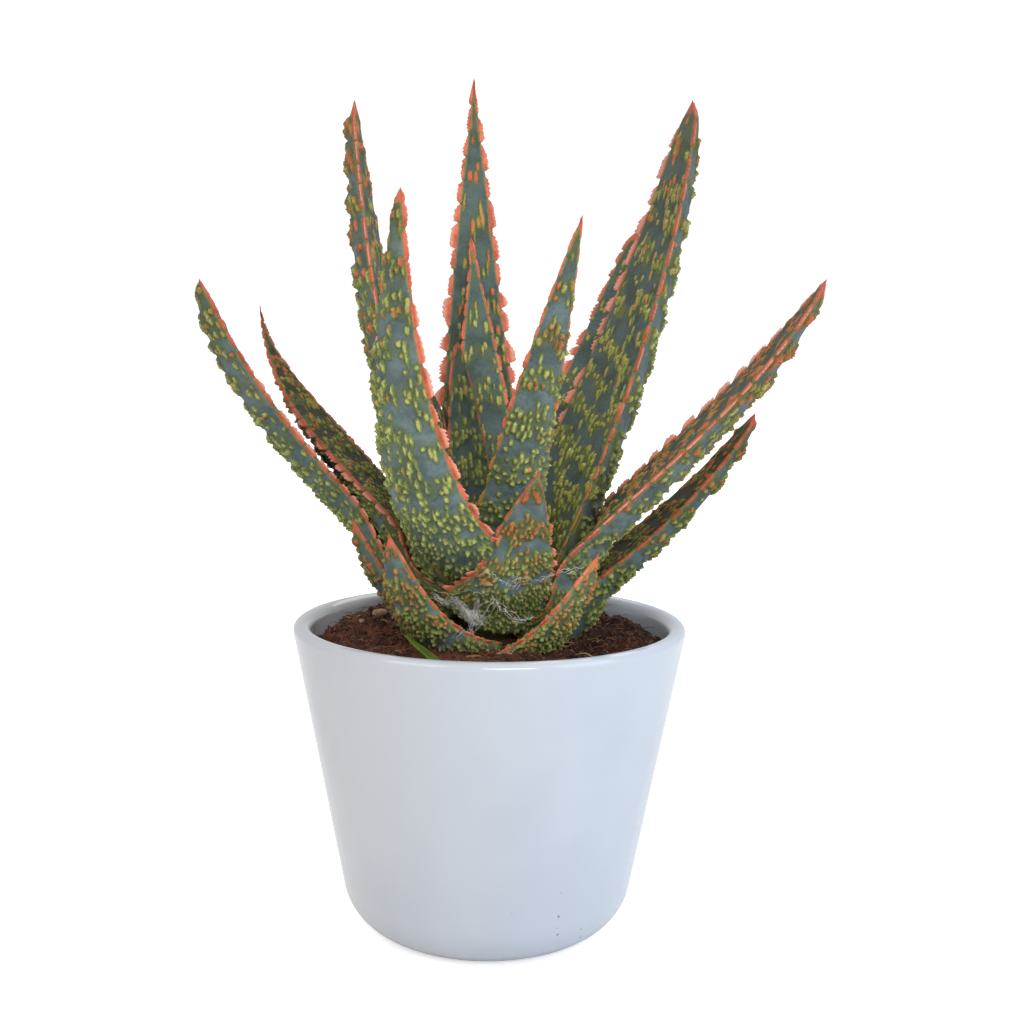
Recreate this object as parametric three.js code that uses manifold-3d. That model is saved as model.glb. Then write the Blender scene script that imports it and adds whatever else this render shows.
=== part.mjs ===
// A potted aloe: a rosette of toothed leaves on a short stem, in soil, in a glazed round pot.
// Millimetres, +Z up. The origin is the centre of the pot's foot, and -Y is the side that the viewer sees.
import * as THREE from "three";
import { mergeVertices } from "three/addons/utils/BufferGeometryUtils.js";
import Module from "manifold-3d";

// Pot
const POT_HEIGHT = 104;
const RIM_RADIUS = 65; // outside, at the mouth
const CONE_FOOT_RADIUS = 45; // where the straight outer wall would meet the ground
const FOOT_ROUNDING = 19;
const RIM_ROUNDING = 3;
const WALL = 6;
const FLOOR = 7;
const INNER_ROUNDING = 15;
const POT_SIDES = 48;

// Soil
const SOIL_BELOW_RIM = 6.5; // at the wall
const SOIL_LUMP = 0.8;
const SOIL_EDGE_DROP = 1.2; // where it has shrunk away from the wall
const CLUMP_AT = [-38, 36]; // a knot of peat at the back left
const CLUMP_HEIGHT = 3;
const CLUMP_SPREAD = 6;
const SOIL_SIDES = 32;

// Stem
const STEM_TOP = 136;
const STEM_FOOT = 66;
const STEM_RADIUS = 8.5; // at the soil
const STEM_TOP_RADIUS = 4;
const STEM_SIDES = 16;

// Leaves
const SEAT_GAP = 0.3; // between pieces that touch
const LEAF_RINGS = 13;
const LEAF_SIDES = 10;
const LEAF_STEPS = 60; // along the centreline
const LEAF_START = 5; // from the middle of the stem
const BELLY = 0.27; // depth of the outer face below the margins, as a share of the width
const CROWN = 0.03; // swelling of the inner face
const CHANNEL = 0.07; // hollow of the inner face
const CLASP = 0.2; // the same hollow where the leaf clasps the stem
const CLASP_REACH = 0.13; // share of the length over which the clasp opens out
const BASE_BLUNT = 0.02; // share of the length that closes the leaf at the stem

const SOIL_AT_WALL = POT_HEIGHT - SOIL_BELOW_RIM;
const WALL_SLOPE = (RIM_RADIUS - CONE_FOOT_RADIUS) / POT_HEIGHT;
const rad = THREE.MathUtils.degToRad;

const wasm = await Module();
wasm.setup();

// ---- solids and meshes ----

// The corners of a geometry welded together, with nothing but their places.
function welded(geometry) {
  const bare = geometry.clone();
  bare.deleteAttribute("normal");
  bare.deleteAttribute("uv");
  return mergeVertices(bare, 1e-3);
}

function solidOf(geometry) {
  const { attributes, index } = welded(geometry);
  return new wasm.Manifold(
    new wasm.Mesh({
      numProp: 3,
      vertProperties: attributes.position.array,
      triVerts: new Uint32Array(index.array),
    }),
  );
}

function geometryOf(solid) {
  const mesh = solid.getMesh();
  const positions = new Float32Array(mesh.numVert * 3);
  for (let i = 0; i < mesh.numVert; i++)
    positions.set(mesh.vertProperties.subarray(i * mesh.numProp, i * mesh.numProp + 3), i * 3);
  const geometry = new THREE.BufferGeometry();
  geometry.setAttribute("position", new THREE.BufferAttribute(positions, 3));
  geometry.setIndex(new THREE.BufferAttribute(mesh.triVerts, 1));
  geometry.computeVertexNormals();
  return geometry;
}

// The same shape a little larger all round, to cut its neighbours with: each corner moves out
// along the mean of its faces, weighed by the angle that each face has there.
function swollen(geometry, gap) {
  const larger = welded(geometry);
  const { position } = larger.attributes;
  const outward = Array.from({ length: position.count }, () => new THREE.Vector3());
  for (let i = 0; i < larger.index.count; i += 3) {
    const ids = [0, 1, 2].map((k) => larger.index.getX(i + k));
    const corners = ids.map((id) => new THREE.Vector3().fromBufferAttribute(position, id));
    const normal = new THREE.Triangle(...corners).getNormal(new THREE.Vector3());
    ids.forEach((id, k) => {
      const one = corners[(k + 1) % 3].clone().sub(corners[k]);
      const other = corners[(k + 2) % 3].clone().sub(corners[k]);
      outward[id].addScaledVector(normal, one.angleTo(other));
    });
  }
  outward.forEach((way, id) => {
    const moved = new THREE.Vector3().fromBufferAttribute(position, id).addScaledVector(way.normalize(), gap);
    position.setXYZ(id, moved.x, moved.y, moved.z);
  });
  return larger;
}

// The largest of the bodies that a cut leaves.
function largestBody(solid) {
  return solid.decompose().reduce((best, body) => (body.volume() > best.volume() ? body : best));
}

function cut(solid, tools) {
  return largestBody(tools.reduce((left, tool) => left.subtract(tool), solid));
}

// ---- pot ----

// Points of an arc round (x, z) from one angle to another, in degrees from +X.
function arc(x, z, radius, from, to, steps) {
  return Array.from({ length: steps + 1 }, (_, i) => {
    const a = rad(from + ((to - from) * i) / steps);
    return new THREE.Vector2(x + radius * Math.cos(a), z + radius * Math.sin(a));
  });
}

// Radius of the outer wall's straight line at a height.
const outerRadius = (z) => CONE_FOOT_RADIUS + WALL_SLOPE * z;
const innerRadius = (z) => outerRadius(z) - WALL;

// A lathe about +Z of a profile of (radius, height) points that runs up the outside.
function turned(profile, sides) {
  return new THREE.LatheGeometry(profile, sides).rotateX(Math.PI / 2).rotateZ(Math.PI / sides);
}

function potGeometry() {
  const lean = THREE.MathUtils.radToDeg(Math.atan(WALL_SLOPE));
  const footCentre = outerRadius(FOOT_ROUNDING) - FOOT_ROUNDING / Math.cos(rad(lean));
  const floorCentre = innerRadius(FLOOR + INNER_ROUNDING) - INNER_ROUNDING / Math.cos(rad(lean));
  const rimTop = POT_HEIGHT - RIM_ROUNDING;
  const profile = [
    new THREE.Vector2(0, 0),
    ...arc(footCentre, FOOT_ROUNDING, FOOT_ROUNDING, -90, -lean, 6),
    ...arc(RIM_RADIUS - RIM_ROUNDING, rimTop, RIM_ROUNDING, 0, 180, 6),
    ...arc(floorCentre, FLOOR + INNER_ROUNDING, INNER_ROUNDING, -lean, -90, 4),
    new THREE.Vector2(0, FLOOR),
  ];
  return turned(profile, POT_SIDES);
}

// ---- soil ----

// Height of the crumbly top above the flat level.
function soilLump(x, y) {
  const waves = Math.sin(0.21 * x + 1.3) * Math.cos(0.17 * y) + 0.6 * Math.sin(0.33 * y - 0.12 * x);
  const away = Math.hypot(x - CLUMP_AT[0], y - CLUMP_AT[1]);
  return SOIL_LUMP * waves + CLUMP_HEIGHT * Math.exp(-0.5 * (away / CLUMP_SPREAD) ** 2);
}

function soilGeometry() {
  const lean = THREE.MathUtils.radToDeg(Math.atan(WALL_SLOPE));
  const round = INNER_ROUNDING - SEAT_GAP;
  const centre = innerRadius(FLOOR + INNER_ROUNDING) - INNER_ROUNDING / Math.cos(rad(lean));
  const edge = innerRadius(SOIL_AT_WALL) - SEAT_GAP;
  const profile = [
    new THREE.Vector2(0, FLOOR + SEAT_GAP),
    ...arc(centre, FLOOR + INNER_ROUNDING, round, -90, -lean, 4),
    ...[1, 0.83, 0.65, 0.47, 0.28, 0].map((share) => new THREE.Vector2(edge * share, SOIL_AT_WALL)),
  ];
  const geometry = turned(profile, SOIL_SIDES);
  const points = geometry.attributes.position;
  for (let i = 0; i < points.count; i++)
    if (points.getZ(i) > SOIL_AT_WALL - 0.01) {
      const drop = Math.hypot(points.getX(i), points.getY(i)) > edge - 0.01 ? SOIL_EDGE_DROP : 0;
      points.setZ(i, SOIL_AT_WALL - drop + soilLump(points.getX(i), points.getY(i)));
    }
  return geometry;
}

// ---- stem ----

function stemGeometry() {
  const profile = [
    [0, STEM_FOOT],
    [STEM_RADIUS * 0.55, STEM_FOOT],
    [STEM_RADIUS, STEM_FOOT + 9],
    [STEM_RADIUS, SOIL_AT_WALL + 8],
    [(STEM_RADIUS + STEM_TOP_RADIUS) / 2, STEM_TOP - 12],
    [STEM_TOP_RADIUS, STEM_TOP - 3],
    [STEM_TOP_RADIUS * 0.5, STEM_TOP],
    [0, STEM_TOP],
  ].map(([radius, z]) => new THREE.Vector2(radius, z));
  return turned(profile, STEM_SIDES);
}

// ---- leaves ----

// Each leaf leaves the stem at a height, towards a heading (0 is +X, 90 is away from the viewer), and
// climbs from its first rise to its last, in degrees above the ground. sweep turns its heading on the
// way, and roll and twist turn its face about its own length. hook sets how soon it bends, shoulder
// how far it holds its width, and taper how fast it then narrows. The youngest comes first, and each
// older leaf is shaped round those inside it. The leaf of a pup rises from the soil at a foot of its own.
const LEAVES = [
  { name: "leaf_heart", heading: 129, rise: [73, 81], length: 68, width: 21, height: 128 },
  { name: "leaf_inner_left", heading: 167, sweep: -10, rise: [76, 70], length: 59, width: 19, height: 127 },
  {
    name: "leaf_centre",
    heading: 97, sweep: 6, rise: [69, 67], length: 113, width: 26, height: 126,
    taper: 1,
  },
  {
    name: "leaf_front_right",
    heading: 297, sweep: -3, rise: [70, 61], length: 123, width: 24, height: 122,
    roll: -12, shoulder: 1.1, taper: 0.75,
  },
  {
    name: "leaf_front_left",
    heading: 245.3, sweep: -15.8, rise: [8, 93.4], length: 136, width: 36, height: 128,
    hook: 1.94, roll: -7, shoulder: 1.25, taper: 0.78,
  },
  {
    name: "leaf_back_tall",
    heading: 99.8, sweep: -7.5, rise: [59, 76], length: 180, width: 38, height: 120,
    roll: -3, shoulder: 1, taper: 0.9,
  },
  {
    name: "leaf_slim_right",
    heading: 64, sweep: -10, rise: [37, 60], length: 160, width: 26, height: 116,
    hook: 1.2, roll: 2, shoulder: 1.4, taper: 0.5,
  },
  {
    name: "leaf_upright_left",
    heading: 166, sweep: 11, rise: [63, 83], length: 163, width: 32, height: 115,
    hook: 1.6, shoulder: 2, taper: 0.45,
  },
  {
    name: "leaf_upright_right",
    heading: 34, sweep: 1, rise: [55, 74], length: 185, width: 40, height: 112,
    hook: 1.1, roll: -2, twist: -16, shoulder: 2, taper: 0.46,
  },
  {
    name: "leaf_left_back",
    heading: 160.6, sweep: -60, rise: [53.8, 28.4], length: 176, width: 35.6, height: 108,
    hook: 3.2, roll: 22.5, twist: -30, shoulder: 1.25, taper: 1.4,
  },
  {
    name: "leaf_front",
    heading: 288, sweep: 4, rise: [40, 65], length: 60, width: 38, height: 112,
    hook: 0.8, roll: -4, shoulder: 1.2, taper: 0.9,
  },
  {
    name: "leaf_far_right",
    heading: 359, sweep: -66.4, rise: [48.9, 41.7], length: 157.5, width: 25.4, height: 107,
    hook: 3.2, roll: 0.6, twist: 54, shoulder: 3.2, taper: 0.6,
  },
  {
    name: "leaf_far_left",
    heading: 147.6, sweep: 50, rise: [29.2, 77.3], length: 148.5, width: 22.5, height: 108,
    hook: 0.6, roll: 24.2, twist: -6.5, shoulder: 3, taper: 0.4,
  },
  { name: "leaf_back_left", heading: 122, sweep: 8, rise: [35, 70], length: 74, width: 28, height: 108 },
  { name: "leaf_back_right", heading: 84, sweep: -6, rise: [22, 58], length: 66, width: 26, height: 104 },
  {
    name: "leaf_low_right",
    heading: 11, sweep: 10, rise: [26, 51], length: 113, width: 29, height: 103,
    hook: 0.9, twist: -13, shoulder: 1.9, taper: 0.45,
  },
  {
    name: "leaf_low_front_left",
    heading: 227, sweep: 16, rise: [7, 71], length: 64, width: 26, height: 99,
    hook: 1.1, shoulder: 1.4, taper: 0.7,
  },
  {
    name: "leaf_low_front_right",
    heading: 314, sweep: -2, rise: [0, 55], length: 57, width: 26, height: 99,
    hook: 2.1, roll: 16, twist: -7, shoulder: 1.35, taper: 0.78,
  },
  {
    name: "leaf_low_left",
    heading: 194, sweep: 3, rise: [15, 65], length: 60, width: 20, height: 98,
    hook: 1.5, twist: 8, shoulder: 1.5, taper: 0.53,
  },
  { name: "leaf_low_back", heading: 100, sweep: -10, rise: [16, 48], length: 56, width: 24, height: 98 },
  {
    name: "pup_leaf",
    foot: [-13, -37], heading: 172, rise: [48, 34], length: 18, width: 8, height: 95,
  },
];

const LEAF_DEFAULTS = { sweep: 0, roll: 0, twist: 0, shoulder: 1.5, taper: 0.6, hook: 1.8 };

// Points and directions along a leaf: where it is, the way it runs, its width and its inner face.
function leafCourse(leaf) {
  const stations = [];
  const outward = [Math.cos(rad(leaf.heading)), Math.sin(rad(leaf.heading))];
  const [x, y] = leaf.foot ?? outward.map((share) => LEAF_START * share);
  const point = new THREE.Vector3(x, y, leaf.height);
  for (let i = 0; i <= LEAF_STEPS; i++) {
    const t = i / LEAF_STEPS;
    const rise = rad(leaf.rise[1] + (leaf.rise[0] - leaf.rise[1]) * (1 - t) ** leaf.hook);
    const heading = rad(leaf.heading + leaf.sweep * t);
    const along = new THREE.Vector3(
      Math.cos(rise) * Math.cos(heading),
      Math.cos(rise) * Math.sin(heading),
      Math.sin(rise),
    );
    const across = new THREE.Vector3(-Math.sin(heading), Math.cos(heading), 0);
    across.applyAxisAngle(along, rad(leaf.roll + leaf.twist * t));
    stations.push({ at: point.clone(), along, across, face: along.clone().cross(across) });
    point.addScaledVector(along, leaf.length / LEAF_STEPS);
  }
  return stations;
}

// A leaf as a ball stretched along its course: the poles are the stem end and the tip.
function leafGeometry(leaf) {
  const course = leafCourse(leaf);
  const geometry = new THREE.SphereGeometry(1, LEAF_SIDES, LEAF_RINGS);
  const points = geometry.attributes.position;
  const p = new THREE.Vector3();
  for (let i = 0; i < points.count; i++) {
    p.fromBufferAttribute(points, i);
    const ring = Math.round((Math.acos(THREE.MathUtils.clamp(p.y, -1, 1)) / Math.PI) * LEAF_RINGS);
    const pole = ring === 0 || ring === LEAF_RINGS;
    const t = ring === 0 ? 0 : BASE_BLUNT + (1 - BASE_BLUNT) * ((ring - 1) / (LEAF_RINGS - 1));
    const side = Math.atan2(p.z, p.x);
    const station = t * LEAF_STEPS;
    const here = course[Math.floor(station)];
    const next = course[Math.min(Math.floor(station) + 1, LEAF_STEPS)];
    const share = station - Math.floor(station);
    const width = leaf.width * (1 - t ** leaf.shoulder) ** leaf.taper;
    const hollow = width * (CHANNEL * (1 - t) + CLASP * Math.exp(-t / CLASP_REACH));
    const x = pole ? 0 : Math.cos(side);
    const z = pole ? 0 : Math.sin(side);
    const offset = hollow * (x * x - 1) + width * (z > 0 ? CROWN : BELLY) * z;
    p.lerpVectors(here.at, next.at, share)
      .addScaledVector(here.across, (width / 2) * x)
      .addScaledVector(here.face, offset);
    points.setXYZ(i, p.x, p.y, p.z);
  }
  return geometry;
}

// ---- assembly ----

const GLAZE = new THREE.MeshStandardMaterial({ color: 0xdfe4ea, roughness: 0.12 });
const SOIL = new THREE.MeshStandardMaterial({ color: 0x3b2019, roughness: 1 });
const STEM = new THREE.MeshStandardMaterial({ color: 0x6b6a3a, roughness: 0.8 });
const LEAF = new THREE.MeshStandardMaterial({ color: 0x4d6660, roughness: 0.5 });

const plant = new THREE.Group();

function addMesh(name, solidOrGeometry, material) {
  const geometry = solidOrGeometry.isBufferGeometry ? solidOrGeometry : geometryOf(solidOrGeometry);
  const mesh = new THREE.Mesh(geometry, material);
  mesh.name = name;
  plant.add(mesh);
}

const cutters = [solidOf(swollen(stemGeometry(), SEAT_GAP))];
for (const row of LEAVES) {
  const geometry = leafGeometry({ ...LEAF_DEFAULTS, ...row });
  addMesh(row.name, cut(solidOf(geometry), cutters), LEAF);
  cutters.push(solidOf(swollen(geometry, SEAT_GAP)));
}
addMesh("stem", stemGeometry(), STEM);
addMesh("soil", cut(solidOf(soilGeometry()), cutters), SOIL);
addMesh("pot", potGeometry(), GLAZE);

export default plant;
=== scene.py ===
import math

import bmesh
import bpy
import numpy as np
from mathutils import Matrix, Vector
from mathutils.bvhtree import BVHTree


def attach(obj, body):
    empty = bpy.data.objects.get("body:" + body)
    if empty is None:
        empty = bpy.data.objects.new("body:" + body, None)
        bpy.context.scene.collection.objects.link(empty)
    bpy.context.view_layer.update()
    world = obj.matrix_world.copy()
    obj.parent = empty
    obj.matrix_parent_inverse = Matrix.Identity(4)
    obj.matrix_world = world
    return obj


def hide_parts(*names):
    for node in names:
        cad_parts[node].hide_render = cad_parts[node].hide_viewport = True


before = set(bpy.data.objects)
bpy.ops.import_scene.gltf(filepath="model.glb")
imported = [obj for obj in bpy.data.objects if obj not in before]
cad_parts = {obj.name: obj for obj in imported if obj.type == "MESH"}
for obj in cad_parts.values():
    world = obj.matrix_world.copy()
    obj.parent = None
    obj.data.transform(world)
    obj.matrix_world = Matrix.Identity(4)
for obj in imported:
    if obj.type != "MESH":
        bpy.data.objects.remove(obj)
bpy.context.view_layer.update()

MM = 0.001
EDGE_REACH = 1.2  # how close an edge lies to the ring it is picked by, in millimetres
MERGE_WITHIN = 1e-7

# ---- sizes in millimetres, as in the CAD ----

POT_HEIGHT = 104
RIM_RADIUS = 65
CONE_FOOT_RADIUS = 45
FOOT_ROUNDING = 19
WALL = 6
FLOOR = 7
INNER_ROUNDING = 15
SOIL_LEVEL = 97.5
STEM_TOP = 136
STEM_FOOT = 66
STEM_RADIUS = 8.5
LEAF_START = 5
BELLY = 0.27
CROWN = 0.03
CHANNEL = 0.07
CLASP = 0.2
CLASP_REACH = 0.13
WALL_LEAN = math.atan((RIM_RADIUS - CONE_FOOT_RADIUS) / POT_HEIGHT)
TURN_AT_FOOT = math.pi / 2 - WALL_LEAN

# ---- the leaves, youngest first ----

# heading and its sweep, rise at the stem and at the tip, roll and twist, in degrees; length, width
# and height at the stem. hook, shoulder and taper shape the rise and the outline.
LEAVES = {
    "leaf_heart": dict(heading=129, rise=(73, 81), length=68, width=21, height=128),
    "leaf_inner_left": dict(
        heading=167, sweep=-10, rise=(76, 70), length=59, width=19, height=127,
    ),
    "leaf_centre": dict(
        heading=97, sweep=6, rise=(69, 67), length=113, width=26, height=126, taper=1,
    ),
    "leaf_front_right": dict(
        heading=297, sweep=-3, rise=(70, 61), length=123, width=24, height=122, roll=-12,
        shoulder=1.1, taper=0.75,
    ),
    "leaf_front_left": dict(
        heading=245.3, sweep=-15.8, rise=(8, 93.4), length=136, width=36, height=128, hook=1.94,
        roll=-7, shoulder=1.25, taper=0.78,
    ),
    "leaf_back_tall": dict(
        heading=99.8, sweep=-7.5, rise=(59, 76), length=180, width=38, height=120, roll=-3,
        shoulder=1, taper=0.9,
    ),
    "leaf_slim_right": dict(
        heading=64, sweep=-10, rise=(37, 60), length=160, width=26, height=116, hook=1.2, roll=2,
        shoulder=1.4, taper=0.5,
    ),
    "leaf_upright_left": dict(
        heading=166, sweep=11, rise=(63, 83), length=163, width=32, height=115, hook=1.6,
        shoulder=2, taper=0.45,
    ),
    "leaf_upright_right": dict(
        heading=34, sweep=1, rise=(55, 74), length=185, width=40, height=112, hook=1.1, roll=-2,
        twist=-16, shoulder=2, taper=0.46,
    ),
    "leaf_left_back": dict(
        heading=160.6, sweep=-60, rise=(53.8, 28.4), length=176, width=35.6, height=108, hook=3.2,
        roll=22.5, twist=-30, shoulder=1.25, taper=1.4,
    ),
    "leaf_front": dict(
        heading=288, sweep=4, rise=(40, 65), length=60, width=38, height=112, hook=0.8, roll=-4,
        shoulder=1.2, taper=0.9,
    ),
    "leaf_far_right": dict(
        heading=359, sweep=-66.4, rise=(48.9, 41.7), length=157.5, width=25.4, height=107,
        hook=3.2, roll=0.6, twist=54, shoulder=3.2, taper=0.6,
    ),
    "leaf_far_left": dict(
        heading=147.6, sweep=50, rise=(29.2, 77.3), length=148.5, width=22.5, height=108, hook=0.6,
        roll=24.2, twist=-6.5, shoulder=3, taper=0.4,
    ),
    "leaf_back_left": dict(heading=122, sweep=8, rise=(35, 70), length=74, width=28, height=108),
    "leaf_back_right": dict(heading=84, sweep=-6, rise=(22, 58), length=66, width=26, height=104),
    "leaf_low_right": dict(
        heading=11, sweep=10, rise=(26, 51), length=113, width=29, height=103, hook=0.9, twist=-13,
        shoulder=1.9, taper=0.45,
    ),
    "leaf_low_front_left": dict(
        heading=227, sweep=16, rise=(7, 71), length=64, width=26, height=99, hook=1.1,
        shoulder=1.4, taper=0.7,
    ),
    "leaf_low_front_right": dict(
        heading=314, sweep=-2, rise=(0, 55), length=57, width=26, height=99, hook=2.1, roll=16,
        twist=-7, shoulder=1.35, taper=0.78,
    ),
    "leaf_low_left": dict(
        heading=194, sweep=3, rise=(15, 65), length=60, width=20, height=98, hook=1.5, twist=8,
        shoulder=1.5, taper=0.53,
    ),
    "leaf_low_back": dict(heading=100, sweep=-10, rise=(16, 48), length=56, width=24, height=98),
}
PUP_LEAF = dict(heading=172, rise=(48, 34), length=18, width=8, height=95, foot=(-13, -37))
LEAF_DEFAULTS = dict(sweep=0, roll=0, twist=0, shoulder=1.5, taper=0.6, hook=1.8)


# ---- helpers for modelling ----


def deselect_all():
    if bpy.context.mode != "OBJECT":
        bpy.ops.object.mode_set(mode="OBJECT")
    bpy.ops.object.select_all(action="DESELECT")


def select_only(piece):
    deselect_all()
    piece.select_set(True)
    bpy.context.view_layer.objects.active = piece


def start_piece(name):
    """Names the primitive that was just added."""
    piece = bpy.context.object
    piece.name = name
    piece.data.name = name
    return piece


def edit(piece):
    select_only(piece)
    bpy.ops.object.mode_set(mode="EDIT")
    bpy.ops.mesh.select_all(action="DESELECT")


def pick(piece, kind, wanted):
    """Selects the vertices, edges or faces for which wanted(element) is true."""
    bpy.ops.mesh.select_mode(type={"verts": "VERT", "edges": "EDGE", "faces": "FACE"}[kind])
    bpy.ops.mesh.select_all(action="DESELECT")
    shape = bmesh.from_edit_mesh(piece.data)
    for element in getattr(shape, kind):
        element.select_set(bool(wanted(element)))
    shape.select_flush_mode()
    bmesh.update_edit_mesh(piece.data)


def edge_at(radius, height):
    """A test for the edges of the ring at that radius and height, in millimetres."""

    def near(v):
        away = math.hypot(v.co.x, v.co.y) / MM - radius
        return abs(away) < EDGE_REACH and abs(v.co.z / MM - height) < EDGE_REACH

    return lambda edge: all(near(v) for v in edge.verts)


def apply_modifiers(piece):
    select_only(piece)
    for modifier in list(piece.modifiers):
        bpy.ops.object.modifier_apply(modifier=modifier.name)


def settle(piece):
    """Puts the piece's place, turn and size into its mesh."""
    select_only(piece)
    bpy.ops.object.transform_apply(location=True, rotation=True, scale=True)


def smooth(piece):
    select_only(piece)
    bpy.ops.object.shade_smooth()


def merge_doubles(piece):
    edit(piece)
    bpy.ops.mesh.select_all(action="SELECT")
    bpy.ops.mesh.remove_doubles(threshold=MERGE_WITHIN)


def outward(piece):
    merge_doubles(piece)
    bpy.ops.mesh.normals_make_consistent(inside=False)
    bpy.ops.object.mode_set(mode="OBJECT")


def dress(piece, material, slot, *nodes):
    piece.data.materials.clear()
    piece.data.materials.append(material)
    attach(piece, "root")
    if nodes:
        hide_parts(*nodes)


def points_of(piece):
    co = np.empty(len(piece.data.vertices) * 3)
    piece.data.vertices.foreach_get("co", co)
    return co.reshape(-1, 3)


def set_points(piece, co):
    piece.data.vertices.foreach_set("co", np.ascontiguousarray(co, np.float32).ravel())
    piece.data.update()


# ---- materials ----


def paint(code):
    """A display colour such as 'c7cdd6' as a linear colour."""
    parts = [int(code[i : i + 2], 16) / 255 for i in (0, 2, 4)]
    return [p / 12.92 if p <= 0.04045 else ((p + 0.055) / 1.055) ** 2.4 for p in parts] + [1.0]


class Wiring:
    """Adds nodes to a material or a node group and joins them."""

    def __init__(self, tree):
        self.tree = tree

    def node(self, kind, inputs=None, **settings):
        made = self.tree.nodes.new(kind)
        for key, value in settings.items():
            setattr(made, key, value)
        for key, value in (inputs or {}).items():
            self.feed(made.inputs[key], value)
        return made

    def feed(self, socket, value):
        """Joins a socket to another, or sets it to a number or a display colour."""
        if isinstance(value, bpy.types.NodeSocket):
            self.tree.links.new(value, socket)
        else:
            socket.default_value = paint(value) if isinstance(value, str) else value

    def math(self, operation, a, b=0.0, clamp=False):
        made = self.node("ShaderNodeMath", {0: a, 1: b}, operation=operation, use_clamp=clamp)
        return made.outputs[0]

    def times(self, first, *others):
        for other in others:
            first = self.math("MULTIPLY", first, other)
        return first

    def mix(self, share, a, b, blend="MIX"):
        made = self.node("ShaderNodeMix", data_type="RGBA", blend_type=blend)
        self.feed(made.inputs[0], share)
        self.feed(made.inputs[6], a)
        self.feed(made.inputs[7], b)
        return made.outputs[2]

    def ramp(self, value, low, high):
        """0 below low and 1 above high, or the other way round where low is the larger."""
        made = self.node(
            "ShaderNodeMapRange",
            {"Value": value, "From Min": low, "From Max": high},
            interpolation_type="SMOOTHSTEP",
        )
        return made.outputs[0]

    def scale(self, colour, factor):
        made = self.node("ShaderNodeVectorMath", {0: colour}, operation="SCALE")
        self.feed(made.inputs["Scale"], factor)
        return made.outputs[0]

    def multiply_add(self, value, factor, more):
        made = self.node("ShaderNodeMath", {0: value, 1: factor, 2: more}, operation="MULTIPLY_ADD")
        return made.outputs[0]

    def noise(self, vector, scale, detail=2.0, roughness=0.5):
        made = self.node(
            "ShaderNodeTexNoise",
            {"Vector": vector, "Scale": scale, "Detail": detail, "Roughness": roughness},
        )
        return made.outputs["Fac"]


def node_group(name, inputs, output, kind):
    """A shader node group with these inputs and one output: {name: default}, None for a vector."""
    group = bpy.data.node_groups.new(name, "ShaderNodeTree")
    for socket, default in inputs.items():
        of = "Vector" if default is None else "Color" if isinstance(default, tuple) else "Float"
        made = group.interface.new_socket(
            name=socket, in_out="INPUT", socket_type="NodeSocket" + of
        )
        if default is not None:
            made.default_value = default
    group.interface.new_socket(name=output, in_out="OUTPUT", socket_type="NodeSocket" + kind)
    wiring = Wiring(group)
    source, result = wiring.node("NodeGroupInput"), wiring.node("NodeGroupOutput")
    return group, wiring, source.outputs, result.inputs


def uneven_tint_group():
    """Two colours in soft patches, with a finer fleck over them."""
    group, w, given, result = node_group(
        "uneven_tint",
        {
            "Vector": None, "Main": (0.5, 0.5, 0.5, 1), "Other": (0.4, 0.4, 0.4, 1),
            "Patch Scale": 60.0, "Fleck Scale": 900.0, "Fleck": 0.2,
        },
        "Color", "Color",
    )
    patch = w.noise(given["Vector"], given["Patch Scale"], 3.0, 0.55)
    tint = w.mix(w.ramp(patch, 0.38, 0.64), given["Main"], given["Other"])
    fleck = w.noise(given["Vector"], given["Fleck Scale"], 2.0, 0.6)
    level = w.multiply_add(w.math("SUBTRACT", fleck, 0.5), given["Fleck"], 1.0)
    w.feed(result["Color"], w.scale(tint, level))
    return group


def fine_grain_group():
    """A height made of two sizes of grain."""
    group, w, given, result = node_group(
        "fine_grain",
        {"Vector": None, "Coarse Scale": 300.0, "Fine Scale": 1600.0, "Fine Share": 0.4},
        "Height", "Float",
    )
    coarse = w.noise(given["Vector"], given["Coarse Scale"], 2.0)
    fine = w.noise(given["Vector"], given["Fine Scale"], 3.0, 0.6)
    w.feed(result["Height"], w.multiply_add(fine, given["Fine Share"], coarse))
    return group


UNEVEN_TINT = uneven_tint_group()
FINE_GRAIN = fine_grain_group()


def new_material(name, **settings):
    """A material with its Principled shader, and the wiring, object coordinates and shader."""
    material = bpy.data.materials.new(name)
    material.use_nodes = True
    tree = material.node_tree
    shader = next(n for n in tree.nodes if n.type == "BSDF_PRINCIPLED")
    for key, value in settings.items():
        shader.inputs[key.replace("_", " ")].default_value = value
    w = Wiring(tree)
    place = w.node("ShaderNodeTexCoord").outputs["Object"]
    return material, w, place, shader


def uneven(w, place, main, other, patch_scale, fleck_scale, fleck):
    """The uneven tint of two display colours."""
    made = w.node("ShaderNodeGroup", node_tree=UNEVEN_TINT)
    values = (place, main, other, patch_scale, fleck_scale, fleck)
    for socket, value in zip(made.inputs, values):
        w.feed(socket, value)
    return made.outputs["Color"]


def grain(w, place, coarse_scale, fine_scale, fine_share=0.4):
    made = w.node("ShaderNodeGroup", node_tree=FINE_GRAIN)
    for socket, value in zip(made.inputs, (place, coarse_scale, fine_scale, fine_share)):
        w.feed(socket, value)
    return made.outputs["Height"]


def bump(w, shader, height, distance, strength=1.0):
    made = w.node("ShaderNodeBump", {"Height": height, "Distance": distance, "Strength": strength})
    w.feed(shader.inputs["Normal"], made.outputs["Normal"])


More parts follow.
